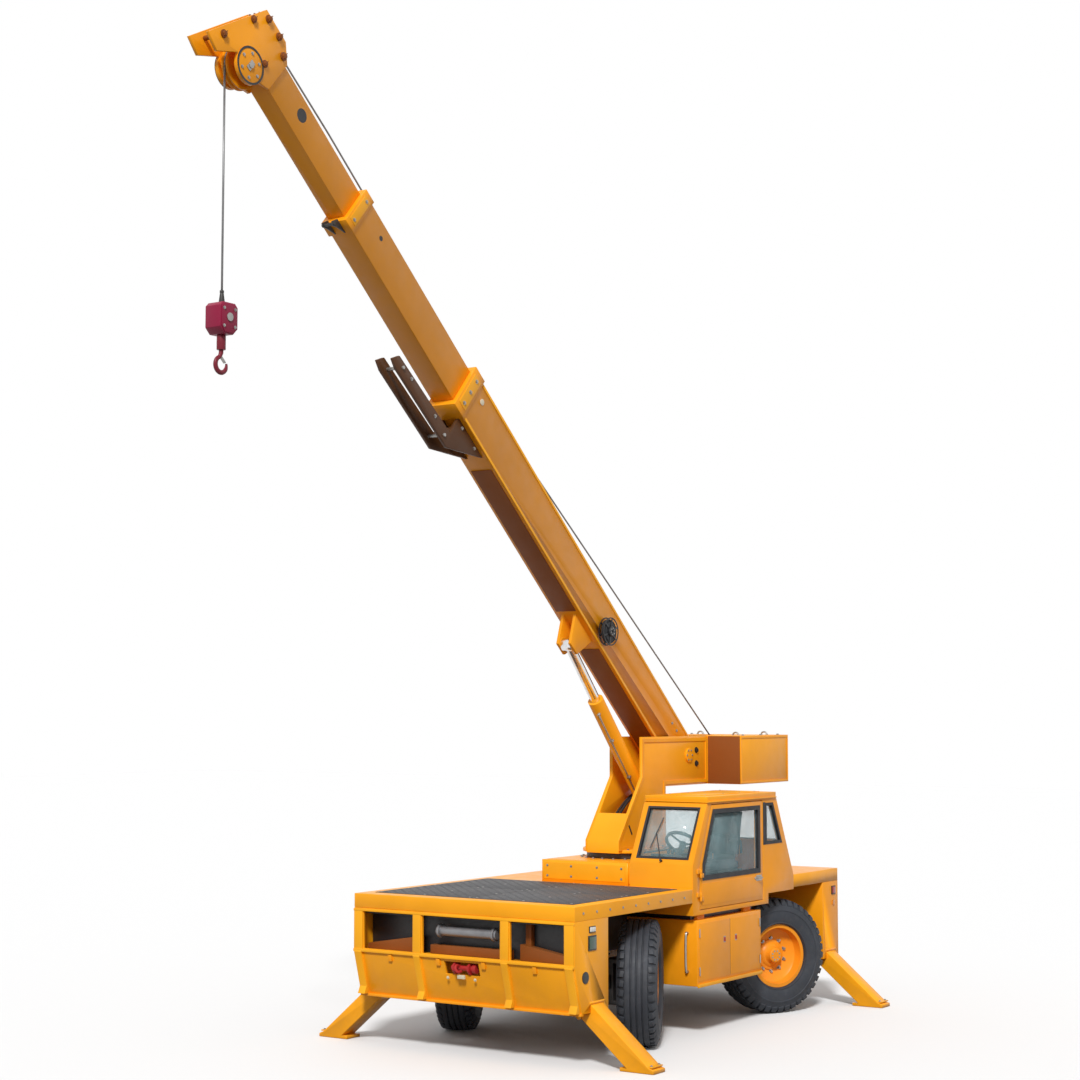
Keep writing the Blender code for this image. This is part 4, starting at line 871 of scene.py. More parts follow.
def make_outrigger_fittings():
    """Pads, pins and rams on the four slanted legs."""
    for end, x in (("front", 2.24), ("rear", -2.41)):
        for side, name in ((1, "left"), (-1, "right")):
            body = f"leg_{end}_{name}"
            y = side * 1.80
            plate = Shape(CAR)
            plate.box((x - 0.088, y - side * 0.17, 0.050), (x + 0.088, y + side * 0.035, 0.062),
                      0.003)
            plate.done(f"foot_plate_{end}_{name}", COLLAR_PAINT, body)
            bolts = Shape(CAR)
            for dx in (-0.065, 0.065):
                bolts.bolt((x + dx, y + side * 0.01, 0.062), (0, 0, 1), 0.010, 0.008)
            bolts.done(f"leg_bolts_{end}_{name}", STEEL, body)


make_deck_sheet()
make_platform_fittings()
make_nose()
make_lamps()
make_side_fittings()
make_underside()
make_outrigger_fittings()

# ---------------------------------------------------------------- cab

DOOR_WINDOW = [(0.32, 1.50), (0.32, 1.62), (0.12, 2.11), (-0.80, 2.11), (-0.80, 1.50)]
QUARTER_WINDOW = [(-0.96, 1.76), (-0.96, 2.14), (-1.10, 2.14), (-1.28, 1.76)]
RIGHT_WINDOW = [(0.36, 1.70), (0.16, 2.14), (-1.06, 2.14), (-1.24, 1.76), (-0.60, 1.70)]


def slope_frame(foot, top, across):
    """A frame on a slanted cab face: X across it, Y up it, Z out of it."""
    foot, top, across = Vector(foot), Vector(top), Vector(across)
    up = (top - foot).normalized()
    out = across.cross(up)
    turn = Matrix((across, up, out)).transposed().to_4x4()
    return CAR @ Matrix.Translation(foot) @ turn


SCREEN = slope_frame((0.54, 0.87, 1.62), (0.22, 0.87, 2.262), (0, 1, 0))
BACK = slope_frame((-1.56, 0.87, 1.40), (-1.16, 0.87, 2.262), (0, -1, 0))


def make_gaskets():
    screen = Shape(SCREEN)
    ring_frame(screen, [(-0.28, 0.067), (0.28, 0.067), (0.28, 0.592), (-0.28, 0.592)], 0.012,
               -0.032, 0.004, "Z", 0.010)
    screen.done("windscreen_gasket", SEAL, "carrier")
    back = Shape(BACK)
    ring_frame(back, [(-0.28, 0.397), (0.28, 0.397), (0.28, 0.816), (-0.28, 0.816)], 0.012,
               -0.032, 0.004, "Z", 0.012)
    back.done("rear_window_gasket", SEAL, "carrier")
    sides = Shape(CAR)
    ring_frame(sides, QUARTER_WINDOW, 0.012, 1.190, 1.224, "Y", 0.018)
    ring_frame(sides, RIGHT_WINDOW, 0.012, 0.516, 0.550, "Y", 0.014)
    sides.box((-0.948, SIDE - SUNK, 1.74), (-0.896, 1.2225, 2.165), 0.001)
    sides.done("side_window_gaskets", SEAL, "carrier")
    door = Shape(CAR)
    ring_frame(door, DOOR_WINDOW, 0.014, 1.186, 1.2245, "Y", 0.030)
    door.done("door_window_gasket", SEAL, "door")


def make_door_fittings():
    panel = Shape(CAR)
    panel.plate([(-0.84, 1.235), (0.365, 1.235), (0.365, 1.44), (-0.84, 1.44)], 1.2198, 1.2228,
                "Y", 0.001)
    panel.done("door_lower_panel", ORANGE, "door")
    steel = Shape(CAR)
    steel.box((-0.845, SIDE - SUNK, 1.392), (-0.735, 1.2265, 1.448), 0.003)
    steel.sweep(curve_points([(-0.83, 1.226, 1.42), (-0.82, 1.250, 1.42), (-0.79, 1.256, 1.42),
                              (-0.76, 1.250, 1.42), (-0.75, 1.226, 1.42)], 5), 0.007)
    steel.rod((-0.715, SIDE - SUNK, 1.42), (-0.715, 1.228, 1.42), 0.013, 20, 0.002)
    steel.done("door_handle", STEEL, "door")
    inner = Shape(CAR)
    inner.box((-0.84, 1.164, 1.23), (0.36, 1.1702, 1.47), 0.003)
    inner.sweep(curve_points([(-0.60, 1.166, 1.40), (-0.58, 1.13, 1.40), (-0.40, 1.125, 1.40),
                              (-0.22, 1.13, 1.40), (-0.20, 1.166, 1.40)], 6), 0.010)
    inner.done("door_inner_trim", INNER, "door")


def make_roof_fittings():
    lip = Shape(CAR)
    lip.box((-1.17, 1.2185, 2.205), (0.232, 1.236, 2.216), 0.002)
    lip.box((0.225, 0.525, 2.205), (0.262, 1.236, 2.214), 0.002)
    lip.box((-1.05, 0.64, 2.2618), (0.06, 1.10, 2.270), 0.004)
    lip.done("roof_lips", COLLAR_PAINT, "carrier")
    screws = Shape(CAR)
    for x in (-1.0, -0.68, -0.34, 0.02):
        for y in (0.67, 1.07):
            screws.rod((x, y, 2.270), (x, y, 2.2735), 0.009, 12, 0.001)
    screws.done("roof_screws", STEEL, "carrier")
    wiper = Shape(SCREEN)
    wiper.rod((0.0, 0.035, 0.0), (0.0, 0.035, 0.030), 0.012, 16, 0.002)
    wiper.sweep(curve_points([(0.0, 0.035, 0.026), (-0.05, 0.16, 0.026), (-0.12, 0.32, 0.018)], 6),
                0.0045)
    wiper.sweep([(-0.155, 0.16, 0.010), (-0.12, 0.32, 0.012), (-0.085, 0.48, 0.010)], 0.006)
    wiper.done("wiper", BLACK, "carrier")


def make_cab_inside():
    lining = Shape(CAR)
    lining.box((-0.92, 0.575, 1.2005), (0.47, 1.165, 1.212), 0.003)
    lining.box((-1.00, 0.5705, 1.26), (0.46, 0.576, 1.66), 0.002)
    lining.box((-1.10, 0.60, 2.198), (0.18, 1.14, 2.206), 0.002)
    lining.done("cab_lining", INNER, "carrier")
    leaning = CAR @ Matrix.Translation((0.25, 0.87, 1.66)) @ Matrix.Rotation(radians(-30), 4, "Y")
    dash = Shape(leaning)
    dash.box((-0.045, -0.25, -0.012), (0.065, 0.25, 0.012), 0.006)
    dash.done("dash_panel", BLACK, "carrier")
    dials = Shape(leaning)
    for y in (-0.17, -0.06, 0.05, 0.16):
        dials.rod((0.01, y, 0.011), (0.01, y, 0.018), 0.032, 24, 0.003)
    dials.done("dash_dials", WHITE_LENS, "carrier")
    levers = Shape(CAR)
    for number in range(4):
        y = 0.67 + number * 0.045
        levers.rod((0.12, y, 1.46), (0.05, y, 1.70), 0.006, 12, 0.001)
        levers.rod((0.055, y, 1.685), (0.040, y, 1.735), 0.016, 16, 0.006)
    levers.box((0.08, 0.64, 1.215), (0.19, 0.84, 1.47), 0.008)
    for y in (0.92, 1.06):
        levers.rod((0.12, y, 1.22), (0.10, y, 1.30), 0.008, 12, 0.001)
        levers.box((0.04, y - 0.035, 1.285), (0.12, y + 0.035, 1.300), 0.004)
    levers.done("levers_and_pedals", BLACK, "carrier")


def soft_block(name, outline, low, high, cap, channels):
    """A padded block: a rounded start shape, swollen by cloth pressure, then sewn channels."""
    shape = Shape(CAR)
    shape.plate(outline, low, high, "Y", 0.024)
    data = bpy.data.meshes.new(name)
    shape.mesh.to_mesh(data)
    shape.mesh.free()
    pad = bpy.data.objects.new(name, data)
    bpy.context.scene.collection.objects.link(pad)
    remesh = pad.modifiers.new("remesh", "REMESH")
    remesh.mode = "VOXEL"
    remesh.voxel_size = 0.006
    graph = bpy.context.evaluated_depsgraph_get()
    pad.data = bpy.data.meshes.new_from_object(pad.evaluated_get(graph))
    pad.modifiers.clear()
    rest = [vertex.co.copy() for vertex in pad.data.vertices]
    cloth = pad.modifiers.new("cloth", "CLOTH")
    cloth.settings.use_pressure = True
    cloth.settings.uniform_pressure_force = 4.0
    cloth.settings.effector_weights.gravity = 0.0
    for number in range(1, 21):
        bpy.context.scene.frame_set(number)
    graph = bpy.context.evaluated_depsgraph_get()
    swollen = pad.evaluated_get(graph).to_mesh()
    moved = []
    for start, vertex in zip(rest, swollen.vertices):
        step = vertex.co - start
        moved.append(start + step * min(1.0, cap / max(step.length, 1e-9)))
    pad.evaluated_get(graph).to_mesh_clear()
    pad.modifiers.clear()
    bpy.context.scene.frame_set(1)
    for vertex, spot in zip(pad.data.vertices, moved):
        vertex.co = spot
    pad.data.update()
    normals = [vertex.normal.copy() for vertex in pad.data.vertices]
    for vertex, normal in zip(pad.data.vertices, normals):
        for channel in channels:
            vertex.co -= normal * 0.007 * channel(vertex.co, normal)
    pad.data.materials.clear()
    pad.data.materials.append(VINYL)
    pad.data.shade_smooth()
    extra = pad.modifiers.new("smooth", "SUBSURF")
    extra.levels = extra.render_levels = 1
    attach(pad, "carrier")
    return pad


def groove(place, width=0.007):
    return 2.718281828 ** (-(place / width) ** 2)


def make_seat():
    """Cushion, back, pedestal and arm of the operator's seat."""
    facing = Vector((0.97, 0, 0.24))
    cushion = soft_block(
        "seat_cushion", [(-0.70, 1.515), (-0.235, 1.515), (-0.235, 1.590), (-0.70, 1.590)],
        0.655, 1.065, 0.012,
        [lambda spot, normal: groove(abs(spot.y - 0.86) - 0.115) * max(0.0, normal.z),
         lambda spot, normal: groove(spot.x - SHIFT + 0.42) * max(0.0, normal.z)])
    back = soft_block(
        "seat_back", [(-0.735, 1.640), (-0.660, 1.640), (-0.755, 2.085), (-0.825, 2.085)],
        0.675, 1.045, 0.012,
        [lambda spot, normal: groove(abs(spot.y - 0.86) - 0.105) * max(0.0, normal.dot(facing)),
         lambda spot, normal: groove(spot.z - 1.84) * max(0.0, normal.dot(facing))])
    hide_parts("operator_seat")
    frame_piece = Shape(CAR)
    frame_piece.box((-0.735, 0.65, 1.488), (-0.23, 1.07, 1.512), 0.008)
    frame_piece.box((-0.68, 0.70, 1.212), (-0.28, 1.02, 1.245), 0.006)
    frame_piece.plate([(-0.745, 1.50), (-0.715, 1.50), (-0.735, 1.68), (-0.765, 1.68)],
                      0.74, 0.98, "Y", 0.004)
    for y in (0.655, 1.065):
        frame_piece.sweep(curve_points([(-0.72, y, 1.66), (-0.70, y, 1.78), (-0.60, y, 1.80),
                                        (-0.42, y, 1.795)], 6), 0.014)
    frame_piece.done("seat_frame", BLACK, "carrier")
    bellows = Shape(CAR)
    for number in range(9):
        z = 1.245 + number * 0.027
        half = 0.0 if number % 2 else 0.018
        bellows.box((-0.665 - half, 0.715 - half, z), (-0.295 + half, 1.005 + half, z + 0.027),
                    0.008)
    bellows.done("seat_bellows", SEAL, "carrier")


make_gaskets()
make_door_fittings()
make_roof_fittings()
make_cab_inside()
make_seat()

# ---------------------------------------------------------------- turret and counterweight


def make_turret_fittings():
    """Edge flanges, keeper bolts, pin caps and hoses on the turret."""
    flanges = Shape(CAR)
    outline = [(0.21, 1.70), (0.21, 1.80), (-0.25, 2.42), (-0.25, 2.80), (-1.59, 2.80),
               (-1.59, 2.33), (-0.71, 2.33), (-0.71, 1.70)]
    for side in (1, -1):
        ring_frame(flanges, outline, 0.035, side * 0.1895, side * 0.197, "Y")
        flanges.rod((-1.20, side * 0.189, 2.62), (-1.20, side * 0.204, 2.62), 0.075, 40, 0.004)
        flanges.rod((-0.62, side * 0.189, 2.14), (-0.62, side * 0.204, 2.14), 0.055, 32, 0.004)
    flanges.done("turret_flanges", YELLOW, "upper")
    dark = Shape(CAR)
    steel = Shape(CAR)
    for side in (1, -1):
        for x, z in ((-1.36, 2.67), (-1.36, 2.53)):
            dark.bolt((x, side * 0.190, z), (0, side, 0), 0.022, 0.016)
        dark.box((-0.005, side * 0.1895, -0.055), (0.012, side * 0.196, 0.055), 0.002,
                 Matrix.Translation((-0.02, 0, 1.90)) @ Matrix.Rotation(radians(32), 4, "Y"))
        for angle in range(0, 360, 60):
            spot = (-1.20 + 0.055 * cos(radians(angle)), side * 0.204,
                    2.62 + 0.055 * sin(radians(angle)))
            steel.bolt(spot, (0, side, 0), 0.007, 0.005)
        steel.bolt((-0.62, side * 0.204, 2.14), (0, side, 0), 0.016, 0.010)
    for number in range(16):
        angle = 2 * pi * number / 16 + 0.2
        spot = (-0.25 + 0.41 * cos(angle), 0.41 * sin(angle), 1.7055)
        if abs(spot[1]) > 0.21:
            steel.bolt(spot, (0, 0, 1), 0.012, 0.010)
    dark.done("turret_keepers", BLACK, "upper")
    steel.done("turret_bolts", STEEL, "upper")
    hoses = Shape(CAR)
    for number, y in enumerate((-0.10, -0.06, 0.06, 0.10)):
        hoses.sweep(curve_points([(0.02, y, 1.71), (-0.02, y, 1.85), (-0.20, y, 2.02),
                                  (-0.40, y, 2.16 + 0.01 * number), (-0.66, y, 2.27),
                                  (-0.95, y, 2.335)], 8), 0.013, 12)
    hoses.done("turret_hoses", SEAL, "upper")


def make_counterweight_fittings():
    # Thin sheets in the shaded brown on the counterweight's front faces: painted shade, the front
    # being in shadow.
    block = Shape(CAR)
    for side in (1, -1):
        block.box((-1.6005, side * 0.20, 2.315), (-1.594, side * 0.585, 2.815), 0.002)
    block.done("counterweight_front_painted_shade", SHADE_BROWN, "upper")
    trims = Shape(CAR)
    for side in (1, -1):
        ring_frame(trims, [(-2.69, 2.32), (-1.61, 2.32), (-1.61, 2.81), (-2.69, 2.81)], 0.018,
                   side * 0.5895, side * 0.595, "Y")
    trims.box((-2.705, -0.56, 2.34), (-2.6995, 0.56, 2.79), 0.002)
    trims.done("counterweight_trims", YELLOW, "upper")
    steel = Shape(CAR)
    for side in (1, -1):
        for x in (-1.85, -2.50):
            y = side * 0.40
            steel.sweep([(x, y + 0.035 * cos(a), 2.822 + 0.03 * sin(a)) for a in
                         [pi * n / 12 for n in range(13)]], 0.009)
            steel.rod((x, y - 0.035, 2.8195), (x, y - 0.035, 2.826), 0.016, 16, 0.001)
            steel.rod((x, y + 0.035, 2.8195), (x, y + 0.035, 2.826), 0.016, 16, 0.001)
        for x in (-1.75, -2.15, -2.55):
            steel.bolt((x, side * 0.54, 2.8203), (0, 0, 1), 0.014, 0.010)
    for y in (-0.45, -0.15, 0.15, 0.45):
        steel.bolt((-2.705, y, 2.44), (-1, 0, 0), 0.014, 0.010)
        steel.bolt((-2.705, y, 2.70), (-1, 0, 0), 0.014, 0.010)
    steel.done("counterweight_bolts", STEEL, "upper")


def make_winch_fittings():
    """Turns of rope on the drum, its flange bolts and the guard over it."""
    centre = place("winch_turn")
    rope = Shape()
    turns, steps = 12, 28
    rope.sweep([centre + Vector((0.120 * cos(2 * pi * n / steps),
                                 -0.112 + 0.0185 * n / steps,
                                 0.120 * sin(2 * pi * n / steps))) for n in range(turns * steps)],
               0.0088, 8)
    rope.done("winch_rope", ROPE_STEEL, "winch")
    bolts = Shape()
    for side in (1, -1):
        for angle in range(0, 360, 45):
            spot = centre + Vector((0.142 * cos(radians(angle)), side * 0.1205,
                                    0.142 * sin(radians(angle))))
            bolts.bolt(spot, (0, -side, 0), 0.007, 0.004)
    bolts.done("winch_flange_bolts", STEEL, "winch")
    guard = Shape(CAR)
    for side in (1, -1):
        guard.box((-2.33, side * 0.1595, 2.80), (-1.62, side * 0.167, 2.823), 0.002)
    guard.done("winch_pocket_lips", YELLOW, "upper")


# ---------------------------------------------------------------- lift cylinder


def axis_frame(joint, along):
    """A frame at a joint with +X along a direction in the XZ plane."""
    return Matrix.Translation(place(joint)) @ Matrix.Rotation(-atan2(along.z, along.x), 4, "Y")


def make_lift_fittings():
    along = Vector(JOINTS["lift_cylinder_stroke"]["axis"])
    spot = axis_frame("lift_cylinder_tilt", along)
    line = Shape(spot)
    line.sweep(curve_points([(0.14, 0.035, -0.085), (0.22, 0.035, -0.100), (0.60, 0.035, -0.098),
                             (1.10, 0.035, -0.098), (1.26, 0.035, -0.095), (1.30, 0.03, -0.078)],
                             8),
               0.008, 12)
    for x in (0.45, 0.95):
        line.box((x - 0.012, 0.015, -0.108), (x + 0.012, 0.055, -0.076), 0.003)
    line.rod((1.30, 0.03, -0.07), (1.30, 0.03, -0.10), 0.014, 16, 0.002)
    line.done("lift_hard_line", STEEL, "lift_barrel")


# ---------------------------------------------------------------- boom


def make_base_fittings():
    """Collar pads, edge straps, roller and sheets of painted shade under the base section."""
    under, over = CENTRE_LINE - BASE_HEIGHT / 2, CENTRE_LINE + BASE_HEIGHT / 2
    side_y = BASE_WIDTH / 2
    straps = Shape(BOOM)
    for side in (1, -1):
        for low in (under + 0.004, over - 0.030):
            straps.box((0.10, side * (side_y - 0.0003), low),
                       (BASE_HEAD - 0.19, side * (side_y + 0.004), low + 0.026), 0.0015)
        straps.box((BASE_HEAD - 0.15, side * (side_y + 0.0175), under + 0.05),
                   (BASE_HEAD - 0.03, side * (side_y + 0.023), over - 0.05), 0.002)
    straps.done("base_straps", COLLAR_PAINT, "boom_base_body")
    steel = Shape(BOOM)
    for side in (1, -1):
        for up in (under + 0.09, CENTRE_LINE, over - 0.09):
            steel.bolt((BASE_HEAD - 0.09, side * (side_y + 0.023), up), (0, side, 0), 0.013, 0.010)
        for along in (0.30, 0.42):
            for up in (-0.14, 0.08):
                steel.bolt((along, side * side_y, up), (0, side, 0), 0.010, 0.007)
    for across in (-0.09, 0.0, 0.09):
        steel.bolt((BASE_HEAD - 0.09, across, over + 0.018), (0, 0, 1), 0.013, 0.010)
    steel.rod((BASE_HEAD - 0.07, -0.125, 0.222), (BASE_HEAD - 0.07, 0.125, 0.222), 0.010, 16, 0.001)
    steel.done("base_bolts", STEEL, "boom_base_body")
    holder = Shape(BOOM)
    for side in (1, -1):
        holder.plate([(BASE_HEAD - 0.14, over + 0.012), (BASE_HEAD - 0.005, over + 0.012),
                      (BASE_HEAD - 0.035, 0.262), (BASE_HEAD - 0.10, 0.262)], side * 0.105,
                      side * 0.118, "Y", 0.002)
    holder.done("rope_roller_bracket", GREY, "boom_base_body")
    roller = Shape(BOOM @ Matrix.Translation((BASE_HEAD - 0.07, 0, 0.2235)))
    roller.turned([(0.010, 0.100), (0.024, 0.100), (0.024, 0.085), (0.0125, 0.070),
                   (0.0125, -0.070),
                   (0.024, -0.085), (0.024, -0.100), (0.010, -0.100)], (0, 0, 0), 32)
    roller.done("rope_roller", STEEL, "boom_base_body")
    spots = Shape(BOOM)
    spots.rod((BASE_HEAD - 0.29, side_y, 0.06), (BASE_HEAD - 0.29, side_y + 0.006, 0.06), 0.030, 24,
              0.002)
    spots.done("base_head_spot", CREAM, "boom_base_body")
    # Thin sheets in the shaded brown along the underside: painted shade, where the boom's underside
    # falls dark.
    low = Shape(BOOM)
    low.box((0.35, -0.115, under - 0.006), (1.95, 0.115, under + 0.001), 0.002)
    low.box((2.50, -0.115, under - 0.006), (4.40, 0.115, under + 0.001), 0.002)
    low.done("base_underside_painted_shade", SHADE_BROWN, "boom_base_body")
    fork = Shape(BOOM)
    for side in (1, -1):
        for along, up in ((4.70, -0.30), (4.95, -0.30), (5.30, -0.52), (5.75, -0.53)):
            fork.bolt((along, side * 0.100, up), (0, side, 0), 0.012, 0.009)
    for along in (5.10, 5.90):
        fork.rod((along, -0.115, -0.55), (along, 0.115, -0.55), 0.016, 20, 0.002)
    fork.done("hook_fork_pins", STEEL, "boom_base_body")


def make_reel():
    """Spoked flanges and the wound cable of the reel."""
    joint = JOINTS["cable_reel_turn"]
    spot = BOOM @ Matrix.Translation(BOOM.inverted() @ Vector(joint["pos_m"]))
    reel = Shape(spot)
    for low, high in ((0.020, 0.026), (0.074, 0.080)):
        reel.turned([(0.140, low), (0.140, high), (0.128, high), (0.128, low)], (0, 0, 0), 48)
        for number in range(6):
            turn = Matrix.Rotation(2 * pi * number / 6, 4, "Y")
            reel.box((0.030, low, -0.009), (0.132, high, 0.009), 0.001, turn)
    reel.turned([(0.012, 0.001), (0.048, 0.001), (0.050, 0.004), (0.050, 0.092), (0.044, 0.099),
                 (0.012, 0.099)], (0, 0, 0), 40)
    reel.done("cable_reel_frame", BLACK, "cable_reel_body")
    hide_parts("cable_reel")
    cable = Shape(spot)
    for radius in (0.100, 0.112):
        cable.sweep([Vector((radius * cos(2 * pi * n / 32), 0.0315 + 0.011 * n / 32 * 0.95,
                             radius * sin(2 * pi * n / 32))) for n in range(32 * 4 - 8)], 0.0052, 8)
    cable.turned([(0.050, 0.027), (0.096, 0.027), (0.096, 0.073), (0.050, 0.073)], (0, 0, 0), 48)
    cable.done("cable_reel_winding", SEAL, "cable_reel_body")
    bolts = Shape(spot)
    for angle in range(0, 360, 60):
        bolts.bolt((0.032 * cos(radians(angle)), 0.099, 0.032 * sin(radians(angle))), (0, 1, 0),
                   0.005, 0.003)
    bolts.done("cable_reel_bolts", STEEL, "cable_reel_body")


def make_mid_fittings():
    under, over = CENTRE_LINE - MID_HEIGHT / 2, CENTRE_LINE + MID_HEIGHT / 2
    side_y = MID_WIDTH / 2
    pads = Shape(BOOM)
    for side in (1, -1):
        pads.box((MID_HEAD - 0.115, side * (side_y + 0.0175), under + 0.04),
                 (MID_HEAD - 0.025, side * (side_y + 0.022), over - 0.04), 0.002)
    pads.box((MID_HEAD - 0.115, -0.09, over + 0.0175), (MID_HEAD - 0.025, 0.09, over + 0.022),
             0.002)
    pads.done("mid_collar_pads", COLLAR_PAINT, "boom_mid_body")
    steel = Shape(BOOM)
    for side in (1, -1):
        for up in (under + 0.07, over - 0.07):
            steel.bolt((MID_HEAD - 0.07, side * (side_y + 0.022), up), (0, side, 0), 0.011, 0.008)
    for across in (-0.06, 0.06):
        steel.bolt((MID_HEAD - 0.07, across, over + 0.022), (0, 0, 1), 0.011, 0.008)
    steel.rod((MID_HEAD - 0.09, -0.05, 0.222), (MID_HEAD - 0.09, 0.05, 0.222), 0.016, 20, 0.002)
    for side in (1, -1):
        steel.box((MID_HEAD - 0.115, side * 0.051, over + 0.021),
                  (MID_HEAD - 0.065, side * 0.062, 0.245), 0.002)
    steel.done("mid_bolts_and_roller", STEEL, "boom_mid_body")
    clip = Shape(BOOM)
    for side in (1, -1):
        clip.plate([(MID_HEAD - 0.13, under - 0.017), (MID_HEAD + 0.02, under - 0.017),
                    (MID_HEAD + 0.05, under - 0.085), (MID_HEAD + 0.02, under - 0.11),
                    (MID_HEAD - 0.03, under - 0.07)], side * 0.045, side * 0.060, "Y", 0.003)
    clip.rod((MID_HEAD + 0.02, -0.07, under - 0.085), (MID_HEAD + 0.02, 0.07, under - 0.085), 0.012,
             16, 0.002)
    clip.rod((MID_HEAD - 0.42, side_y - 0.001, 0.04), (MID_HEAD - 0.42, side_y + 0.0004, 0.04),
             0.024,
             24, 0)
    clip.done("mid_under_clip", DARK, "boom_mid_body")


def make_tip_fittings():
    """The side hole as a black disc of painted shade, head pins and brackets in the shaded brown,
    keepers, guards and dark rings of painted shade at the boom's end.
    """
    side_y = TIP_WIDTH / 2
    # The side hole is a flat black disc: painted shade for the hollow inside.
    hole = Shape(BOOM)
    for side in (1, -1):
        hole.rod((8.18, side * (side_y - 0.0005), 0.0), (8.18, side * (side_y + 0.0004), 0.0),
                 0.060,
                 40, 0)
    hole.done("tip_side_hole_painted_shade", BLACK, "boom_tip_body")
    # The head pins take the shaded brown: painted shade.
    pins = Shape(BOOM)
    outer = side_y + 0.025
    for along, up, radius, reach in ((8.66, 0.14, 0.022, 0.030), (8.80, 0.215, 0.020, 0.034),
                                     (8.97, 0.215, 0.020, 0.034), (9.07, 0.06, 0.018, 0.028),
                                     (8.75, -0.10, 0.018, 0.028), (9.19, -0.33, 0.020, 0.030)):
        pins.rod((along, -outer - reach, up), (along, outer + reach, up), radius, 24, 0.003)
        for side in (1, -1):
            pins.rod((along, side * (outer + 0.001), up), (along, side * (outer + 0.012), up),
                     radius + 0.014, 24, 0.002)
            pins.rod((along, side * (outer + reach - 0.006), up - radius - 0.016),
                     (along, side * (outer + reach - 0.006), up + radius + 0.016), 0.004, 10, 0.001)
    pins.done("head_pins", SHADE_BROWN, "boom_tip_body")
    # The head brackets take the shaded brown too: painted shade.
    brackets = Shape(BOOM)
    for side in (1, -1):
        for low, high in ((0.020, 0.034), (0.070, 0.084)):
            brackets.plate([(8.74, 0.228), (8.99, 0.228), (9.03, 0.262), (9.00, 0.285),
                            (8.95, 0.262), (8.80, 0.262), (8.76, 0.285), (8.72, 0.262)],
                           side * low, side * high, "Y", 0.003)
    brackets.done("head_brackets", SHADE_BROWN, "boom_tip_body")
    steel = Shape(BOOM)
    for side in (1, -1):
        for angle in range(0, 360, 60):
            spot = (SHEAVE_ALONG + 0.105 * cos(radians(angle)), side * (side_y + 0.030),
                    SHEAVE_UP + 0.105 * sin(radians(angle)))
            steel.bolt(spot, (0, side, 0), 0.010, 0.007)
        steel.box((8.815, side * (side_y + 0.0295), -0.300),
                  (8.865, side * (side_y + 0.038), -0.208), 0.003)
    steel.rod((SHEAVE_ALONG, -side_y - 0.046, SHEAVE_UP),
              (SHEAVE_ALONG, side_y + 0.046, SHEAVE_UP), 0.026, 32, 0.003)
    steel.done("head_bolts_and_keepers", STEEL, "boom_tip_body")
    # Flat dark rings round the head's disc: painted shade of the rope groove.
    rims = Shape(BOOM @ Matrix.Translation((SHEAVE_ALONG, 0, SHEAVE_UP)))
    for side in (1, -1):
        rims.turned([(0.138, side * (side_y + 0.0295)), (0.156, side * (side_y + 0.0295)),
                     (0.156, side * (side_y + 0.033)), (0.138, side * (side_y + 0.033))],
                     (0, 0, 0), 64)
    rims.done("head_disc_rim_painted_shade", DARK, "boom_tip_body")


def make_sheave():
    spot = Matrix.Translation(place("sheave_spin"))
    wheel = Shape(spot)
    half = 0.030
    wheel.turned([(0.180, half), (0.1775, half), (0.150, half - 0.006), (0.142, 0.012),
                  (0.060, 0.012), (0.052, half - 0.001), (0.0312, half), (0.0312, -half),
                  (0.052, -half + 0.001), (0.060, -0.012), (0.142, -0.012), (0.150, -half + 0.006),
                  (0.1775, -half), (0.180, -half), (0.180, -0.016), (0.168, -0.0115),
                  (0.161, -0.006), (0.160, 0.0), (0.161, 0.006), (0.168, 0.0115), (0.180, 0.016)],
                 (0, 0, 0), 72)
    made = wheel.done("sheave_wheel", ORANGE, "sheave")
    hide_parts("hoist_sheave")


def make_ropes():
    """The rope from the drum over the roller and along the boom to the head.

    Its upper lengths start far enough back to reach when the boom is telescoped out.
    """
    drum = BOOM.inverted() @ (place("winch_turn") + Vector((-0.04, 0, 0.128)))
    roller = Vector((BASE_HEAD - 0.07, 0.0, 0.247))
    lower = Shape(BOOM)
    lower.sweep([drum.lerp(roller, step / 60) for step in range(61)], 0.008, 10)
    lower.done("rope_winch_to_roller", ROPE_STEEL, ("upper", "boom_base_body"),
               blend=(BOOM @ drum, BOOM @ drum.lerp(roller, 0.45)))
    middle = Shape(BOOM)
    middle.sweep([Vector((3.06 + (MID_HEAD - 3.15) * n / 30, -0.020, 0.2465)) for n in range(31)],
                 0.008, 10)
    middle.done("rope_roller_to_mid_head", ROPE_STEEL, "boom_mid_body")
    top = [Vector((4.99 + (8.55 - 4.99) * n / 30, 0.020 * min(1.0, (30 - n) / 6), 0.2465))
           for n in range(31)]
    run = Shape(BOOM)
    run.sweep(top, 0.008, 10)
    run.done("rope_mid_head_to_tip", ROPE_STEEL, "boom_tip_body")
    centre = BOOM.inverted() @ place("sheave_spin")
    rim = [centre + Vector((0.169 * cos(radians(a)), 0, 0.169 * sin(radians(a))))
           for a in range(96, -9, -6)]
    upper = Shape(BOOM)
    upper.sweep(curve_points([top[-1], Vector((8.68, 0, 0.19))] + rim[:1], 5)[:-1] + rim, 0.008, 10)
    upper.done("rope_over_sheave", ROPE_STEEL, "boom_tip_body")
    plumb = Shape(Matrix.Translation(place("sheave_spin")))
    plumb.sweep([Vector((0.169 * cos(radians(a)), 0, 0.169 * sin(radians(a))))
                 for a in range(0, 61, 5)], 0.0085, 10)
    plumb.done("rope_onto_sheave", ROPE_STEEL, "hoist_line")


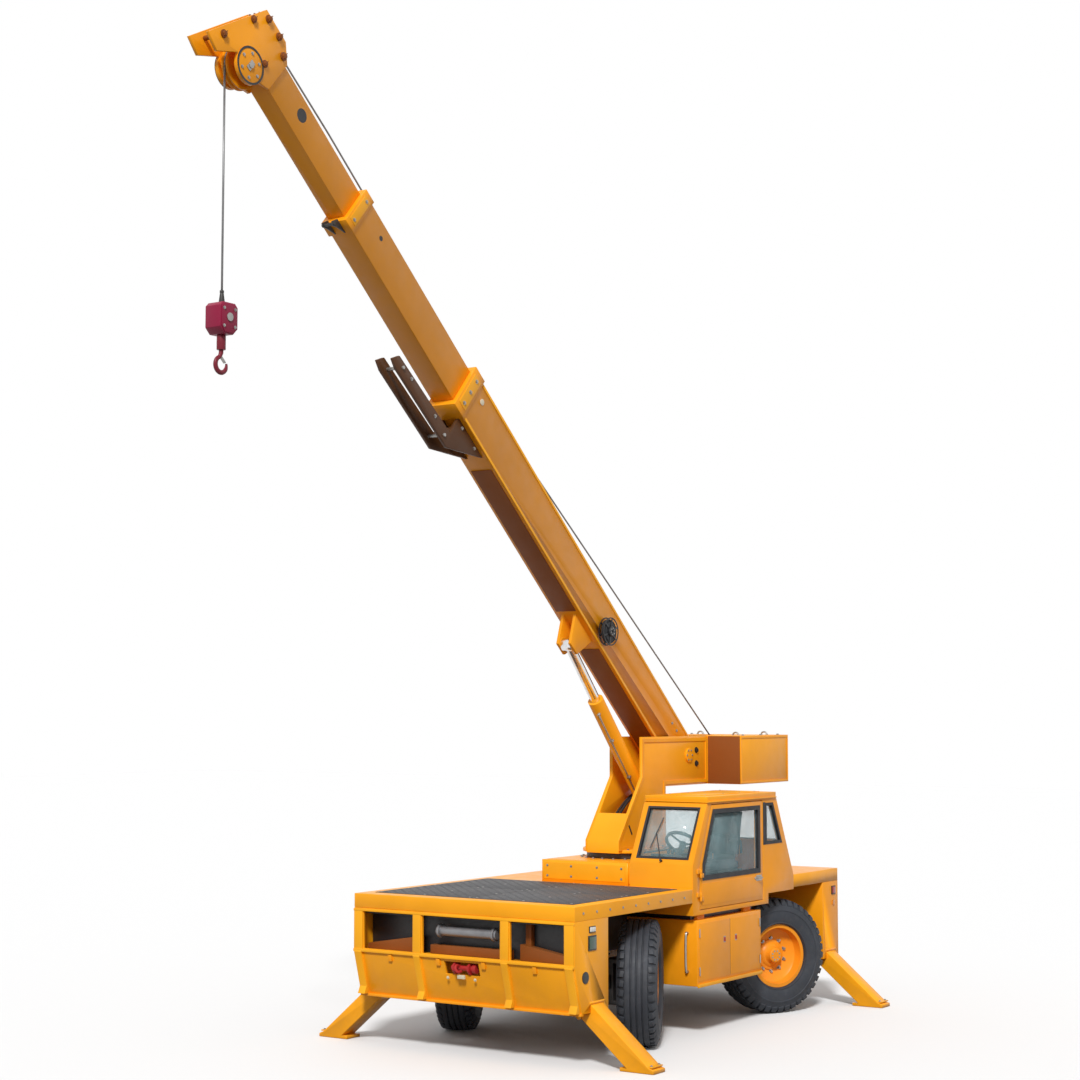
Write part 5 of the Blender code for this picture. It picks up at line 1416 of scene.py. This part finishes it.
def tapered(shape, points, radii, segments=20):
    """A round bar of changing radius in the XZ plane."""
    made = bmesh.new()
    rings = []
    for index, (point, radius) in enumerate(zip(points, radii)):
        before, after = points[max(index - 1, 0)], points[min(index + 1, len(points) - 1)]
        along = (after - before).normalized()
        other = along.cross(Vector((0, 1, 0)))
        rings.append([made.verts.new(point + (Vector((0, 1,
                                                      0)) * cos(2 * pi * turn / segments) * 0.86
                                              + other * sin(2 * pi * turn / segments)) * radius)
                      for turn in range(segments)])
    for ring, after in zip(rings, rings[1:]):
        for first in range(segments):
            second = (first + 1) % segments
            made.faces.new((ring[first], ring[second], after[second], after[first]))
    made.faces.new(rings[0])
    made.faces.new(rings[-1])
    bmesh.ops.recalc_face_normals(made, faces=made.faces)
    return shape.take(made)


def make_hook_and_block():
    low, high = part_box("hook_block")
    spot = Matrix.Translation((low + high) / 2)
    half_x, half_z = (high.x - low.x) / 2, (high.z - low.z) / 2
    cheeks = Shape(spot)
    for side in (1, -1):
        cheeks.plate([(-half_x + 0.012, -half_z + 0.06), (-half_x + 0.05, -half_z + 0.012),
                      (half_x - 0.05, -half_z + 0.012), (half_x - 0.012, -half_z + 0.06),
                      (half_x - 0.012, half_z - 0.04), (half_x - 0.04, half_z - 0.012),
                      (-half_x + 0.04, half_z - 0.012), (-half_x + 0.012, half_z - 0.04)],
                     side * 0.0797, side * 0.087, "Y", 0.002)
    cheeks.done("hook_block_cheeks", CRIMSON, "hoist_line")
    steel = Shape(spot)
    for side in (1, -1):
        steel.rod((0, side * 0.086, 0.01), (0, side * 0.096, 0.01), 0.034, 32, 0.003)
        for x in (-0.062, 0.062):
            for z in (-0.065, 0.075):
                steel.bolt((x, side * 0.087, z), (0, side, 0), 0.009, 0.007)
    steel.done("hook_block_bolts", STEEL, "hoist_line")
    socket = Shape(spot)
    socket.rod((0, 0, half_z), (0, 0, half_z + 0.085), 0.026, 24, 0.004, 0.015)
    socket.rod((0, 0, half_z + 0.085), (0, 0, half_z + 0.105), 0.017, 24, 0.003)
    socket.done("rope_socket", DARK, "hoist_line")
    top = Vector((place("hook_swivel").x, place("hook_swivel").y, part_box("hook")[1].z))
    hook = Shape(Matrix.Translation(top))
    hook.rod((0, 0, -0.118), (0, 0, -0.002), 0.036, 32, 0.004)
    hook.rod((0, 0, -0.075), (0, 0, -0.050), 0.0378, 6, 0.003)
    path = [Vector((0, 0, -0.10)), Vector((0, 0, -0.14))]
    radii = [0.020, 0.020]
    for angle in range(14, 285, 9):
        path.append(Vector((0.062 * sin(radians(angle)), 0, -0.235 + 0.062 * cos(radians(angle)))))
        bulge = sin(radians(min(max(angle - 20, 0) * 0.78, 180)))
        point = 1.0 if angle < 240 else 1.0 - 0.45 * (angle - 240) / 45
        radii.append((0.017 + 0.0035 * bulge) * point)
    tapered(hook, path, radii)
    made = hook.done("hook_forging", HOOK_PAINT, "hook_body")
    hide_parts("hook")
    latch = Shape(Matrix.Translation(top))
    latch.plate([(0.012, -0.150), (0.004, -0.163), (-0.046, -0.212), (-0.040, -0.220),
                 (0.020, -0.166)], -0.012, 0.012, "Y", 0.001)
    latch.done("hook_latch", STEEL, "hook_body")


make_turret_fittings()
make_counterweight_fittings()
make_winch_fittings()
make_lift_fittings()
make_base_fittings()
make_reel()
make_mid_fittings()
make_tip_fittings()
make_sheave()
make_ropes()
make_hook_and_block()

# ---------------------------------------------------------------- stage, light, camera


def stage_look(name, shown, lit):
    """A matt ground that the camera sees pale and that throws back less light."""
    made = Nodes(name)
    path = made.add("ShaderNodeLightPath")
    seen = made.math("ADD", path.outputs["Is Camera Ray"], path.outputs["Is Glossy Ray"])
    seen = made.math("ADD", seen, path.outputs["Is Transmission Ray"])
    made.color(made.mix(seen, lit, shown))
    made.shader.inputs["Roughness"].default_value = 0.9
    made.shader.inputs["Specular IOR Level"].default_value = 0.1
    return made.material


def make_stage():
    """The floor."""
    data = bpy.data.meshes.new("floor")
    data.from_pydata([(-60, -60, 0), (60, -60, 0), (60, 60, 0), (-60, 60, 0)], [], [(0, 1, 2, 3)])
    floor = bpy.data.objects.new("floor", data)
    floor.location.z = -0.002
    bpy.context.scene.collection.objects.link(floor)
    data.materials.append(stage_look("pale_floor", (0.86, 0.86, 0.86), (0.16, 0.16, 0.16)))


def make_light():
    """A pale world that the camera sees white, and one soft sun."""
    world = bpy.data.worlds.new("studio")
    bpy.context.scene.world = world
    world.use_nodes = True
    tree = world.node_tree
    path = tree.nodes.new("ShaderNodeLightPath")
    seen = tree.nodes.new("ShaderNodeMath")
    seen.operation = "MAXIMUM"
    more = tree.nodes.new("ShaderNodeMath")
    more.operation = "MAXIMUM"
    tree.links.new(path.outputs["Is Camera Ray"], seen.inputs[0])
    tree.links.new(path.outputs["Is Glossy Ray"], seen.inputs[1])
    tree.links.new(seen.outputs[0], more.inputs[0])
    tree.links.new(path.outputs["Is Transmission Ray"], more.inputs[1])
    level = tree.nodes.new("ShaderNodeMapRange")
    level.inputs["To Min"].default_value = 0.55
    level.inputs["To Max"].default_value = 1.0
    tree.links.new(more.outputs[0], level.inputs["Value"])
    background = tree.nodes["Background"]
    background.inputs["Color"].default_value = (1, 1, 1, 1)
    tree.links.new(level.outputs["Result"], background.inputs["Strength"])
    lamp = bpy.data.lights.new("key", "SUN")
    lamp.energy = 2.9
    lamp.angle = radians(9)
    key = bpy.data.objects.new("key", lamp)
    key.rotation_euler = Vector((0.66, 0.36, 0.66)).to_track_quat("Z", "Y").to_euler()
    bpy.context.scene.collection.objects.link(key)


def make_camera():
    """The camera as it was fitted to the photo's straight edges."""
    data = bpy.data.cameras.new("camera")
    data.lens = 67.9
    data.sensor_width = 36
    data.clip_end = 300
    camera = bpy.data.objects.new("camera", data)
    camera.location = body_point(17.54, 10.90, 3.13)
    camera.rotation_euler = (radians(94.67), 0, radians(123.9))
    bpy.context.scene.collection.objects.link(camera)
    bpy.context.scene.camera = camera


make_stage()
make_light()
make_camera()
bpy.context.scene.view_settings.view_transform = "Standard"
